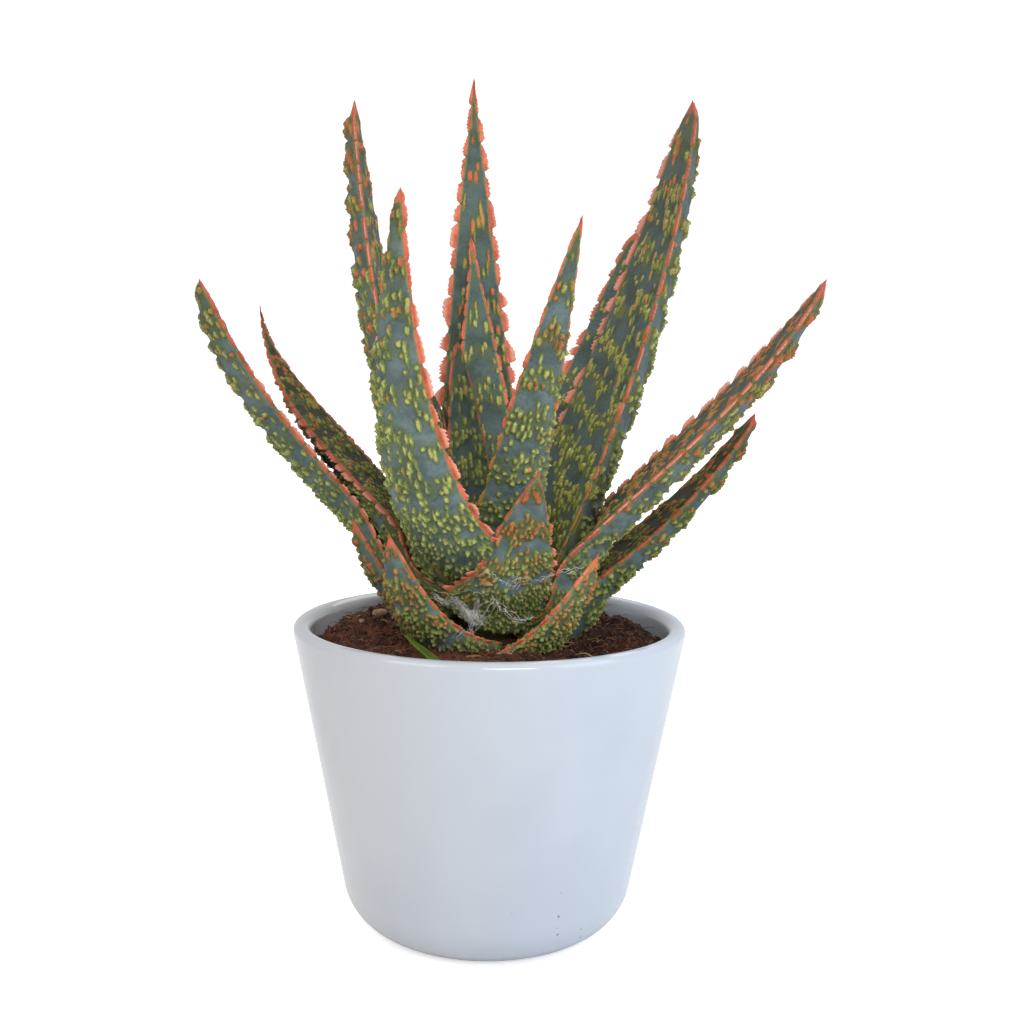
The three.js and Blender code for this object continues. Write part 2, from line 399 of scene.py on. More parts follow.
def glaze_material():
    material, w, place, shader = new_material(
        "white_glaze", Specular_IOR_Level=0.5, Coat_Weight=0.35, Coat_Roughness=0.04
    )
    tint = uneven(w, place, "bdc4d0", "b6bdcb", 14.0, 500.0, 0.015)
    across, _, height = w.node("ShaderNodeSeparateXYZ", {0: place}).outputs
    # A little warmer to the left and cooler to the right, as in the photo's light.
    drift = w.mix(w.ramp(across, -0.06, 0.07), "f4efe8", "f8fdff")
    base = w.mix(1.0, tint, drift, "MULTIPLY")
    # A few dark pinholes low on the right.
    low = w.ramp(height, 0.034, 0.014)
    cells = w.node(
        "ShaderNodeTexVoronoi", {"Vector": place, "Scale": 260.0, "Randomness": 1.0}, feature="F1"
    )
    dots = w.ramp(cells.outputs["Distance"], 0.14, 0.09)
    shade = w.node("ShaderNodeSeparateColor", {0: cells.outputs["Color"]}).outputs[0]
    side = w.ramp(across, 0.0, 0.03)
    pinholes = w.times(w.times(dots, w.ramp(shade, 0.6, 0.62)), w.times(low, side))
    w.feed(shader.inputs["Base Color"], w.mix(pinholes, base, "6d6a66"))
    w.feed(shader.inputs["Roughness"], w.multiply_add(w.noise(place, 40.0, 2.0), 0.05, 0.04))
    sag = w.noise(place, 9.0, 1.0)
    bump(w, shader, w.math("SUBTRACT", sag, w.times(pinholes, 0.3)), 0.0016, 0.5)
    return material


def bare_clay_material():
    material, w, place, shader = new_material("bare_clay", Roughness=0.85)
    tint = uneven(w, place, "d9d3c9", "cbc2b5", 70.0, 2500.0, 0.25)
    w.feed(shader.inputs["Base Color"], tint)
    bump(w, shader, grain(w, place, 900.0, 3000.0), 0.0002)
    return material


def peat_material():
    material, w, place, shader = new_material("peat", Roughness=0.92, Specular_IOR_Level=0.25)
    tint = uneven(w, place, "553224", "2c1711", 110.0, 1300.0, 1.3)
    pale = w.ramp(w.noise(place, 2100.0, 1.0), 0.66, 0.74)
    colour = w.mix(w.times(pale, 0.55), tint, "8a6246")
    # Painted light: lighter to the left where the light falls, and painted shade to the right.
    across = w.node("ShaderNodeSeparateXYZ", {0: place}).outputs["X"]
    colour = w.mix(w.ramp(across, -0.012, 0.03), w.scale(colour, 1.5), w.scale(colour, 0.62))
    w.feed(shader.inputs["Base Color"], colour)
    bump(w, shader, grain(w, place, 700.0, 2600.0, 0.6), 0.0009)
    return material


def simple_material(name, main, other, patch_scale, fleck_scale, fleck, bumps, roughness):
    """A dry or woody finish: patches, flecks and a fine grain."""
    material, w, place, shader = new_material(name, Roughness=roughness)
    tint = uneven(w, place, main, other, patch_scale, fleck_scale, fleck)
    w.feed(shader.inputs["Base Color"], tint)
    bump(w, shader, grain(w, place, fleck_scale * 0.5, fleck_scale * 2), bumps)
    return material


def leaf_material(name, shine):
    """Waxy skin, raised spots and coral margins, placed by the leaf's own attributes.

    marks holds the depth inside a spot, the spot's warmth, the depth inside the margin and where
    a painted highlight sits on the spot. place_on_leaf holds the share of the length, the inner
    face, the lightness (partly the leaf's own tone, partly painted light and shade) and the
    distance to the tip. skin_tint holds how thickly spots stand there, the leaf's olive cast, its
    dark cast (partly its own brown, partly painted shade), and the share of the length up to
    which its strips are ochre.
    """
    material, w, place, shader = new_material(name, Specular_IOR_Level=shine)

    def read(label):
        found = w.node("ShaderNodeAttribute", attribute_name=label).outputs
        parts = w.node("ShaderNodeSeparateColor", {0: found["Color"]}).outputs
        return *parts, found["Alpha"]

    spot, warm, edge, fleck = read("marks")
    along, inner, shade_and_tone, from_tip = read("place_on_leaf")
    crowd, olive, dark_cast_and_shade, ochre_until = read("skin_tint")

    # Skin: blue-grey outside, deeper green inside, greener where the spots stand thickly, and on
    # the inner face a dark brown cast, partly its own colour and partly painted shade.
    outer_skin = uneven(w, place, "5b6b6b", "455352", 90.0, 1000.0, 0.55)
    inner_skin = uneven(w, place, "4b5c59", "39473f", 100.0, 1000.0, 0.55)
    skin = w.mix(inner, outer_skin, w.mix(dark_cast_and_shade, inner_skin, "38311c"))
    cast = w.multiply_add(olive, 0.7, 0.22)
    greener = w.math("MULTIPLY", w.ramp(crowd, 0.2, 1.0), cast, clamp=True)
    inner_olive = w.times(inner, olive)
    blotch = w.times(w.ramp(w.noise(place, 150.0, 2.0), 0.47, 0.58), inner_olive)
    for share, tint in (
        (greener, "555e33"),
        (w.times(blotch, w.times(crowd, 0.5)), "727a36"),
        (w.times(w.ramp(along, 0.22, 0.0), 0.5), "4d5a2e"),
        (w.times(w.ramp(along, 0.82, 0.97), 0.6), "575c33"),
    ):
        skin = w.mix(share, skin, tint)

    # Spots: an olive rim, a lime, ochre or coral top, and a painted highlight on some.
    ragged = w.multiply_add(w.noise(place, 1100.0, 2.0), 0.36, -0.18)
    soft = w.ramp(w.noise(place, 330.0, 3.0), 0.45, 0.65)
    smear = w.times(soft, w.times(crowd, inner_olive))
    depth = w.multiply_add(smear, 0.3, w.math("ADD", spot, ragged))
    halo_and_shade = w.ramp(depth, 0.3, 0.52)
    rim = w.ramp(depth, 0.46, 0.56)
    core = w.ramp(depth, 0.58, 0.78)
    warmth = w.math("ADD", warm, w.multiply_add(w.noise(place, 480.0, 2.0), 0.9, -0.45))
    rim_colour = w.mix(w.ramp(warmth, 0.35, 0.95), "6c763f", "8a6439")
    green_core = w.mix(inner_olive, "a2a764", "948f3a")
    core_low = w.mix(w.ramp(warmth, 0.2, 0.55), green_core, "a98a4c")
    core_colour = w.mix(w.ramp(warmth, 0.5, 0.8), core_low, "c4664a")
    # A dark olive ring round each spot: partly its own olive edge, partly painted shade at its
    # foot.
    skin = w.mix(w.times(halo_and_shade, 0.6), skin, "4a5528")
    skin = w.mix(rim, skin, rim_colour)
    skin = w.mix(core, skin, core_colour)
    # Painted highlight: a pale mint patch on the tip side of the cooler spots.
    glint = w.times(w.ramp(fleck, 0.5, 0.85), w.ramp(depth, 0.56, 0.72))
    cool = w.times(glint, w.ramp(warmth, 0.75, 0.35))
    skin = w.mix(w.times(cool, 0.55), skin, "c3cf93")

    # Margin: a thin yellow-green line, then the coral strip with its paler outer edge, partly its
    # own colour and partly painted light shining through the thin edge.
    waver = w.multiply_add(w.noise(place, 700.0, 2.0), 0.06, -0.03)
    reach = w.math("ADD", edge, waver)
    line = w.times(w.ramp(reach, 0.42, 0.48), 0.6)
    strip = w.ramp(reach, 0.49, 0.53)
    coral = uneven(w, place, "cb6c52", "ab553c", 220.0, 1500.0, 0.5)
    unripe = w.ramp(w.math("SUBTRACT", along, ochre_until), 0.06, -0.12)
    low_strip = w.mix(unripe, coral, "9a7436")
    pale_edge = w.mix(w.times(w.ramp(reach, 0.62, 0.82), 0.7), low_strip, "e5a08a")
    skin = w.mix(line, skin, "7f7f45")
    skin = w.mix(strip, skin, pale_edge)
    waver = w.multiply_add(w.noise(place, 350.0, 2.0), 0.5, -0.25)
    tip = w.ramp(w.math("ADD", from_tip, waver), 0.6, 0.3)
    skin = w.mix(w.times(tip, 0.9), skin, "c9634b")

    # Painted light and shade: each leaf is lighter or darker than the next, partly by its own tone
    # and partly by the light or shade it lies in; each is a little darker towards its tip, and
    # painted shade darkens it at the foot.
    level = w.times(
        w.multiply_add(shade_and_tone, 0.7, 0.62), w.multiply_add(along, -0.3, 1.18),
        w.multiply_add(w.ramp(along, 0.0, 0.1), 0.5, 0.5),
    )
    w.feed(shader.inputs["Base Color"], w.scale(skin, level))
    w.feed(shader.inputs["Roughness"], w.multiply_add(w.noise(place, 900.0, 2.0), 0.25, 0.45))
    skin_grain = grain(w, place, 1300.0, 4200.0, 0.35)
    lifted = w.multiply_add(w.ramp(depth, 0.44, 0.7), 0.8, skin_grain)
    bump(w, shader, w.multiply_add(strip, 0.8, lifted), 0.00028, 0.9)
    return material


GLAZE = glaze_material()
BARE_CLAY = bare_clay_material()
PEAT = peat_material()
CRUMB = simple_material("peat_crumb", "633d27", "371d14", 260.0, 1700.0, 1.1, 0.0006, 0.9)
FIBRE = simple_material("coir_fibre", "8a5a35", "5a3320", 300.0, 1500.0, 0.6, 0.0001, 0.7)
PALE_FIBRE = simple_material("pale_root", "c9b79a", "a88f6c", 300.0, 1500.0, 0.3, 0.0001, 0.7)
PEBBLE = simple_material("tan_pebble", "a98a6b", "8d6f55", 400.0, 1800.0, 0.5, 0.0003, 0.75)
DRY = simple_material("dry_tissue", "b58a52", "8f6438", 400.0, 1500.0, 0.5, 0.0002, 0.75)
WEB = simple_material("web_thread", "f4f4f2", "e2e2df", 300.0, 1500.0, 0.1, 0.00005, 0.5)
SHEATH = simple_material("old_sheath", "6b6238", "4d3d24", 130.0, 900.0, 0.5, 0.0004, 0.8)
YOUNG = simple_material("young_green", "6f7c2c", "55661f", 150.0, 900.0, 0.25, 0.0001, 0.35)
ALOE_SKIN = leaf_material("aloe_skin", 0.28)
DULL_SKIN = leaf_material("dull_aloe_skin", 0.06)

# ---- camera ----

CAMERA_PLACE = Vector((0.0, -0.4878, 0.2032))
CAMERA_LOW = 0.129  # radians below level
CAMERA_RIGHT = 0.014  # radians to the right of +Y
CAMERA_ROLL = 0.013
LENS = 52.73
SENSOR = 36
PICTURE = 1024  # pixels along each side

ahead = Vector(
    (
        math.sin(CAMERA_RIGHT) * math.cos(CAMERA_LOW),
        math.cos(CAMERA_RIGHT) * math.cos(CAMERA_LOW),
        -math.sin(CAMERA_LOW),
    )
)
level_right = Vector((math.cos(CAMERA_RIGHT), -math.sin(CAMERA_RIGHT), 0.0))
level_up = level_right.cross(ahead)
view_right = math.cos(CAMERA_ROLL) * level_right + math.sin(CAMERA_ROLL) * level_up
view_up = -math.sin(CAMERA_ROLL) * level_right + math.cos(CAMERA_ROLL) * level_up
bpy.ops.object.camera_add(location=CAMERA_PLACE)
camera = bpy.context.object
camera.name = "photo_camera"
camera.data.lens = LENS
camera.data.sensor_width = SENSOR
camera.data.clip_start = 0.01
camera.data.clip_end = 20
turn = Matrix((view_right, view_up, -ahead)).transposed()
camera.rotation_euler = turn.to_euler()
bpy.context.scene.camera = camera


def ray_through(px, py):
    """The direction from the camera through a pixel of the picture."""
    f = LENS / SENSOR * PICTURE
    right, down = (px - PICTURE / 2) / f, (py - PICTURE / 2) / f
    return (ahead + view_right * right - view_up * down).normalized()


# ---- pot ----

RIM_ROUNDING = 2.95  # each side of the lip
FOOT_EDGE = 2.0  # glaze from the foot's edge to the bare ring
BARE_RING = 3.5  # how wide the bare ring is
BARE_RING_RADIUS = 27.2
RAISED_UNDERSIDE = 1.2
CORNER = math.tan(TURN_AT_FOOT / 2)  # from a rounding's radius to its bevel at the wall's foot


def wall_radius(height):
    return CONE_FOOT_RADIUS + (RIM_RADIUS - CONE_FOOT_RADIUS) * height / POT_HEIGHT


def upright_cylinder(name, sides, radius, low, high):
    """A cylinder on the pot's axis between two heights, ready to be shaped in edit mode."""
    deselect_all()
    bpy.ops.mesh.primitive_cylinder_add(
        vertices=sides, radius=radius * MM, depth=(high - low) * MM,
        location=(0, 0, (high + low) / 2 * MM),
    )
    piece = start_piece(name)
    settle(piece)
    edit(piece)
    return piece


def round_off(piece, radius, height, width, segments):
    """Rounds the ring of edges at that radius and height."""
    pick(piece, "edges", edge_at(radius, height))
    bpy.ops.mesh.bevel(offset=width * MM, segments=segments, affect="EDGES")


def make_pot():
    pot = upright_cylinder("glazed_pot", 192, CONE_FOOT_RADIUS, 0, POT_HEIGHT)
    # The wall leans out to the mouth, and the mouth is opened down to the floor inside.
    pick(pot, "verts", lambda v: v.co.z > 0.1)
    mouth = RIM_RADIUS / CONE_FOOT_RADIUS
    bpy.ops.transform.resize(value=(mouth, mouth, 1))
    pick(pot, "faces", lambda f: f.normal.z > 0.9)
    bpy.ops.mesh.inset(thickness=WALL * MM)
    sink = (0, 0, (FLOOR - POT_HEIGHT) * MM)
    bpy.ops.mesh.extrude_region_move(TRANSFORM_OT_translate={"value": sink})
    inside_floor = (wall_radius(FLOOR) - WALL) / (RIM_RADIUS - WALL)
    bpy.ops.transform.resize(value=(inside_floor, inside_floor, 1))
    round_off(pot, CONE_FOOT_RADIUS, 0, FOOT_ROUNDING * CORNER, 14)
    round_off(pot, RIM_RADIUS, POT_HEIGHT, RIM_ROUNDING, 8)
    round_off(pot, RIM_RADIUS - WALL, POT_HEIGHT, RIM_ROUNDING, 8)
    round_off(pot, wall_radius(FLOOR) - WALL, FLOOR, INNER_ROUNDING * CORNER, 10)
    # A bare clay ring to stand on, round a slightly raised underside.
    pick(pot, "faces", lambda f: f.normal.z < -0.99)
    for width in (FOOT_EDGE, BARE_RING, RAISED_UNDERSIDE):
        bpy.ops.mesh.inset(thickness=width * MM)
    bpy.ops.transform.translate(value=(0, 0, RAISED_UNDERSIDE * MM))
    bpy.ops.object.mode_set(mode="OBJECT")
    smooth(pot)
    dress(pot, GLAZE, "glaze", "pot")
    pot.data.materials.append(BARE_CLAY)
    for face in pot.data.polygons:
        # The flat ring lies between the first and the second inset.
        flat = face.normal.z < -0.99 and face.center.z < 0.2 * MM and len(face.vertices) == 4
        if flat and math.hypot(face.center.x, face.center.y) < BARE_RING_RADIUS * MM:
            face.material_index = 1


# ---- soil ----

SOIL_GAP = 0.3  # between the soil and the wall
SOIL_BOTTOM = FLOOR + 0.5
SOIL_EDGE = wall_radius(SOIL_LEVEL) - WALL
SOIL_RINGS = 64
SOIL_RING_STEP = 0.88
# Heaps and a hollow in the soil: (x, y, height, spread).
SOIL_HEAPS = (
    (-38, 36, 3.0, 6), (-41, 17, 3.2, 8), (-30, 40, 2.0, 9), (31, 32, 3.0, 10), (43, 8, 1.6, 8),
    (-24, 2, -3.2, 6),
)
# Clods, lumps and crumbs in its top: (name, size in metres, detail, strength, direction).
SOIL_PATTERNS = (
    ("peat_clods", 0.006, 1, 0.0055, "Z"),
    ("peat_lumps", 0.0022, 2, 0.003, "NORMAL"),
    ("peat_crumbs", 0.0009, 1, 0.0011, "NORMAL"),
)


def soil_lie(x, y):
    """How far the soil's top lies above its level."""
    waves = np.sin(0.21 * x + 1.3) * np.cos(0.17 * y) + 0.6 * np.sin(0.33 * y - 0.12 * x)
    heaps = sum(
        high * np.exp(-0.5 * (np.hypot(x - at_x, y - at_y) / spread_by) ** 2)
        for at_x, at_y, high, spread_by in SOIL_HEAPS
    )
    # It has shrunk a little from the wall.
    inside = SOIL_EDGE - SOIL_GAP - np.hypot(x, y)
    worn = np.where(inside < 1.2, -1.4, np.where(inside < 3, -0.5, 0))
    return 0.8 * waves + heaps + worn


def displace(piece, label, size, detail, strength, direction="NORMAL", group=""):
    """Moves the surface in and out by a cloud pattern."""
    texture = bpy.data.textures.new(label, "CLOUDS")
    texture.noise_scale = size
    texture.noise_depth = detail
    texture.noise_basis = "ORIGINAL_PERLIN"
    modifier = piece.modifiers.new(label, "DISPLACE")
    modifier.texture = texture
    modifier.texture_coords = "LOCAL"
    modifier.strength = strength
    modifier.direction = direction
    modifier.vertex_group = group


def make_soil():
    edge = SOIL_EDGE - SOIL_GAP
    soil = upright_cylinder("peat_soil", 256, edge, SOIL_BOTTOM, SOIL_LEVEL)
    pick(soil, "verts", lambda v: v.co.z < 0.05)
    foot = (wall_radius(SOIL_BOTTOM) - WALL - SOIL_GAP) / edge
    bpy.ops.transform.resize(value=(foot, foot, 1), center_override=(0, 0, SOIL_BOTTOM * MM))
    round_off(soil, edge * foot, SOIL_BOTTOM, (INNER_ROUNDING - SOIL_GAP) * CORNER, 6)
    # Rings a little apart over the top, fine enough for its crumbs.
    pick(soil, "faces", lambda f: f.normal.z > 0.9)
    for _ in range(SOIL_RINGS):
        bpy.ops.mesh.inset(thickness=SOIL_RING_STEP * MM)
    bpy.ops.object.mode_set(mode="OBJECT")
    co = points_of(soil)
    top = np.nonzero(co[:, 2] > (SOIL_LEVEL - 0.01) * MM)[0]
    x, y = co[top, 0] / MM, co[top, 1] / MM
    co[top, 2] = (SOIL_LEVEL + soil_lie(x, y)) * MM
    set_points(soil, co)
    group = soil.vertex_groups.new(name="top")
    group.add([int(i) for i in top[np.hypot(x, y) < edge - 0.5]], 1.0, "REPLACE")
    for pattern in SOIL_PATTERNS:
        displace(soil, *pattern, "top")
    apply_modifiers(soil)
    smooth(soil)
    dress(soil, PEAT, "soil", "soil")
    return soil


def tree_of(piece):
    """A search tree of the piece's faces."""
    return BVHTree.FromPolygons(
        [v.co.copy() for v in piece.data.vertices], [list(p.vertices) for p in piece.data.polygons]
    )


CRUMB_SEED = 11
CRUMB_COUNT = 3600
DROP_HEIGHT = 0.13  # things are dropped on the soil from here, in metres
FIBRE_SEED = 23
FIBRE_STEPS = 8
FIBRE_WANDER = 0.35  # radians a step
FIBRE_SUNK = 0.0004
FIBRE_LIMIT = 0.0572  # from the axis, inside the wall
# (name, material, count, shortest and longest in millimetres, radius in metres, lift).
FIBRES = (
    ("coir_fibres", FIBRE, 650, 2.5, 8, 0.00011, 0.9),
    ("pale_rootlets", PALE_FIBRE, 46, 4, 11, 0.00009, 0.7),
)


def piece_of_parts(name, parts, material, turn_outward=False):
    """One piece of many small loose parts: (points, faces) each."""
    points, faces = [], []
    for part_points, part_faces in parts:
        base = len(points)
        points.extend(tuple(p) for p in part_points)
        faces.extend([base + i for i in face] for face in part_faces)
    mesh = bpy.data.meshes.new(name)
    mesh.from_pydata(points, [], faces)
    mesh.update()
    piece = bpy.data.objects.new(name, mesh)
    bpy.context.scene.collection.objects.link(piece)
    if turn_outward:
        outward(piece)
    smooth(piece)
    dress(piece, material, "soil")


def crumb_shapes(random, count):
    """A few knobbly crumbs, each a ball pulled out of round."""
    shapes = []
    for _ in range(count):
        deselect_all()
        bpy.ops.mesh.primitive_ico_sphere_add(subdivisions=1, radius=1)
        ball = bpy.context.object
        mesh = ball.data
        points = []
        for v in mesh.vertices:
            pulled = v.co * random.uniform(0.65, 1.25)
            points.append(pulled * Vector((1, random.uniform(0.7, 1), random.uniform(0.6, 0.9))))
        faces = [list(p.vertices) for p in mesh.polygons]
        bpy.data.objects.remove(ball)
        bpy.data.meshes.remove(mesh)
        shapes.append((points, faces))
    return shapes


def random_turn(random):
    angle = random.uniform(0, 2 * math.pi)
    return Matrix.Rotation(angle, 4, Vector(random.normal(size=3)).normalized())


def ground_at_random(random, soil_tree, least, reach):
    """A place on the soil within reach of the axis, as a point, or None where there is no soil."""
    radius = reach * math.sqrt(random.uniform(least, 1))
    angle = random.uniform(0, 2 * math.pi)
    x, y = radius * math.cos(angle) * MM, radius * math.sin(angle) * MM
    return soil_tree.ray_cast(Vector((x, y, DROP_HEIGHT)), Vector((0, 0, -1)))[0]


def make_crumbs(soil_tree):
    random = np.random.default_rng(CRUMB_SEED)
    shapes = crumb_shapes(random, 6)
    parts = []
    while len(parts) < CRUMB_COUNT:
        hit = ground_at_random(random, soil_tree, 0.03, SOIL_EDGE - 1.5)
        if hit is None:
            continue
        size = (0.3 + 0.75 * random.uniform(0, 1) ** 2.6) * MM
        points, faces = shapes[int(random.integers(len(shapes)))]
        place = Matrix.Translation(hit + Vector((0, 0, size * 0.2)))
        place = place @ random_turn(random) @ Matrix.Scale(size, 4)
        parts.append(([place @ p for p in points], faces))
    piece_of_parts("peat_crumbs", parts, CRUMB)


def thread_mesh(points, radii, sides):
    """Points and faces of a closed thread along points, with pointed ends."""
    ring_points, faces = [points[0]], []
    up = Vector((0.13, 0.21, 0.97)).normalized()
    for i in range(1, len(points) - 1):
        ahead_here = (points[i + 1] - points[i - 1]).normalized()
        side = ahead_here.cross(up)
        if side.length < 0.05:
            side = ahead_here.cross(Vector((1, 0, 0)))
        side.normalize()
        other = ahead_here.cross(side)
        for k in range(sides):
            a = 2 * math.pi * k / sides
            ring_points.append(points[i] + radii[i] * (math.cos(a) * side + math.sin(a) * other))
    ring_points.append(points[-1])
    rings = len(points) - 2
    last = len(ring_points) - 1
    for k in range(sides):
        n = (k + 1) % sides
        faces.append((0, 1 + n, 1 + k))
        for r in range(rings - 1):
            a, b = 1 + r * sides, 1 + (r + 1) * sides
            faces.append((a + k, a + n, b + n, b + k))
        a = 1 + (rings - 1) * sides
        faces.append((a + k, a + n, last))
    return ring_points, faces


def threads_piece(name, strands, material, sides):
    """Many threads as one piece: strands are (points, radii) in metres."""
    parts = [thread_mesh(points, radii, sides) for points, radii in strands]
    piece_of_parts(name, parts, material, turn_outward=True)


def fibre_strand(random, start, length, radius, lift):
    """A fibre that wanders over the ground from start."""
    heading = random.uniform(0, 2 * math.pi)
    points = [start]
    climb = lift
    for _ in range(FIBRE_STEPS):
        heading += random.normal() * FIBRE_WANDER
        step = Vector((math.cos(heading), math.sin(heading), climb)) * (length / FIBRE_STEPS)
        climb -= 2 * lift / FIBRE_STEPS + random.normal() * 0.08
        points.append(points[-1] + step)
    shares = [(i + 0.5) / (FIBRE_STEPS + 1) for i in range(FIBRE_STEPS + 1)]
    return points, [radius * (0.5 + 0.5 * math.sin(math.pi * share)) for share in shares]


def make_fibres(soil_tree):
    random = np.random.default_rng(FIBRE_SEED)
    for name, material, count, low, high, thick, lift in FIBRES:
        strands = []
        while len(strands) < count:
            hit = ground_at_random(random, soil_tree, 0.05, SOIL_EDGE - 4)
            if hit is None:
                continue
            length = random.uniform(low, high) * MM
            radius = thick * random.uniform(0.7, 1.3)
            start = hit - Vector((0, 0, FIBRE_SUNK))
            strand = fibre_strand(random, start, length, radius, lift * random.uniform(0.2, 1))
            if max(math.hypot(p.x, p.y) for p in strand[0]) < FIBRE_LIMIT:
                strands.append(strand)
        threads_piece(name, strands, material, 4)


# ---- stem ----

# (height, share of the full radius)
STEM_TAPER = ((66, 0.3), (68, 0.6), (75, 1), (106, 1), (124, 0.72), (133, 0.45), (136, 0.2))
SHEATH_STEP = 2


def make_stem():
    stem = upright_cylinder("leafy_stem", 64, STEM_RADIUS, STEM_FOOT, STEM_TOP)
    # Rings round the stem, where old leaves clasped it.
    for height in range(STEM_FOOT + SHEATH_STEP, STEM_TOP - 1, SHEATH_STEP):
        bpy.ops.mesh.select_all(action="SELECT")
        bpy.ops.mesh.bisect(plane_co=(0, 0, height * MM), plane_no=(0, 0, 1))
    bpy.ops.object.mode_set(mode="OBJECT")
    co = points_of(stem)
    z = co[:, 2] / MM
    taper = np.interp(z, *zip(*STEM_TAPER))
    ringed = 1 + 0.05 * np.where(np.round((z - STEM_FOOT) / SHEATH_STEP) % 3 == 0, 1, -0.4)
    co[:, :2] *= (taper * ringed)[:, None]
    set_points(stem, co)
    displace(stem, "sheath_folds", 0.004, 2, 0.0008)
    apply_modifiers(stem)
    smooth(stem)
    dress(stem, SHEATH, "stem", "stem")


# ---- leaves ----

RING_STEP = 0.43  # along the leaf
COLUMN_STEP = 0.4  # across it
STRIP_COLUMNS = 4  # across one side of a margin strip
COURSE_STEPS = 240
MARGIN_THICK = 0.85
SPOT_HEIGHT_INSIDE = 0.42
SPOT_HEIGHT_OUTSIDE = 0.95
BAND_SWELL_INSIDE = 0.25
BAND_SWELL_OUTSIDE = 0.42
CLASP_RING_STRIDE = 4
CLASP_COLUMNS = 11
BLADE_CLEARANCE = 0.6  # how far a leaf keeps from the younger ones that it clasps
CLASP_BOX = 16  # how far outside a younger leaf's box it can still matter
CLASP_FADE = 0.12  # share of the length over which it stops giving way
TIP_CLOSES_OVER = 6
FOOT_OPENS_OVER = 2.0
BLUNT_OVER = 8
SLIM_OVER = 0.25  # share of the length
FACE_START = 0.05  # radians from the edge of the section
FACE_LEAST = 0.32  # share of the width that the faces keep beside the strips
PLAIN_EDGE = 0.25  # width and half thickness of the edge of a leaf without strips
FACE_EDGE = 0.25  # how far inside the margin's line the face begins
STRIP_START = 0.3  # how far outside it a strip begins
STRIP_ENDS_OVER = 1.5
STRIP_JOINS_OVER = 12  # from the tip, where the strip's pieces join up
STRIP_MIN = 0.05  # share of its reach left between the pieces
STRIP_PIECE = (3.5, 6.0)  # lengths of the pieces, before stretch
STRIP_STRETCH = (2.7, 6.3)  # what stretch adds at the foot, and more at the tip
TOOTH_SPACING = (1.0, 1.9)
TOOTH_DEPTH = (0.15, 0.5)
DEEP_INSIDE = 4.0  # depth inside the margin is told up to here
BAND_PERIOD = (11, 15)
BAND_BOW = (2.0, 6.0)
BAND_WOBBLE = 2.6
FIRST_SPOTS = 1.2
SPOT_ROW = (1.7, 2.0)  # from row to row at the foot, and how much more at the tip
SPOT_LENGTH = (0.68, 1.0)  # half lengths, in the same way
SPOT_WIDTH = (0.36, 0.1)  # half widths as shares of the pitch, in the same way
SPOT_ROUNDNESS = 2.4
LEAF_SEED = 100
PUP_SEED = 400

# How the leaves' finishes differ:
# shade_and_tone, olive, dark_cast_and_shade: lightness (partly the leaf's own tone, partly painted
# light and shade), olive cast, and dark cast of the inner face (partly its own brown, partly
# painted shade).
# cover, warmth, inner_warmth: how thickly the spots stand, how warm they are, and more so inside.
# pitch, long, patchy, bands: the spots' spacing and length, and how unevenly and in what bands.
# lobe, tip_lobe: how wide the margin strips are, and their share of that near the tip.
# far, far_end, curl: how much wider the strip on one side is, up to what share of the length,
# and how far it bends towards the inner face.
# stretch, gap: how long a strip's pieces and the gaps between them are.
# ochre: the share of the length up to which the strips are ochre and not yet coral.
# tip, blunt: how short the coral tip is, and how broad it ends.
# clasp, clasp_end: the most it gives way to younger leaves, and up to what share of the length.
# slim: how much thinner the foot is.
FINISH_DEFAULTS = dict(
    shade_and_tone=0.5, olive=0.2, dark_cast_and_shade=0.0, cover=0.0, warmth=0.0, inner_warmth=0.05,
    pitch=1.75, long=1.0, patchy=1.0, bands=0.85, lobe=1.0, tip_lobe=1.0,
    far=1.0, far_end=2.0, curl=0.0, stretch=0.5, gap=1.0, ochre=0.12,
    tip=1.0, blunt=0.0, clasp=8.0, clasp_end=0.42, slim=0.0,
)
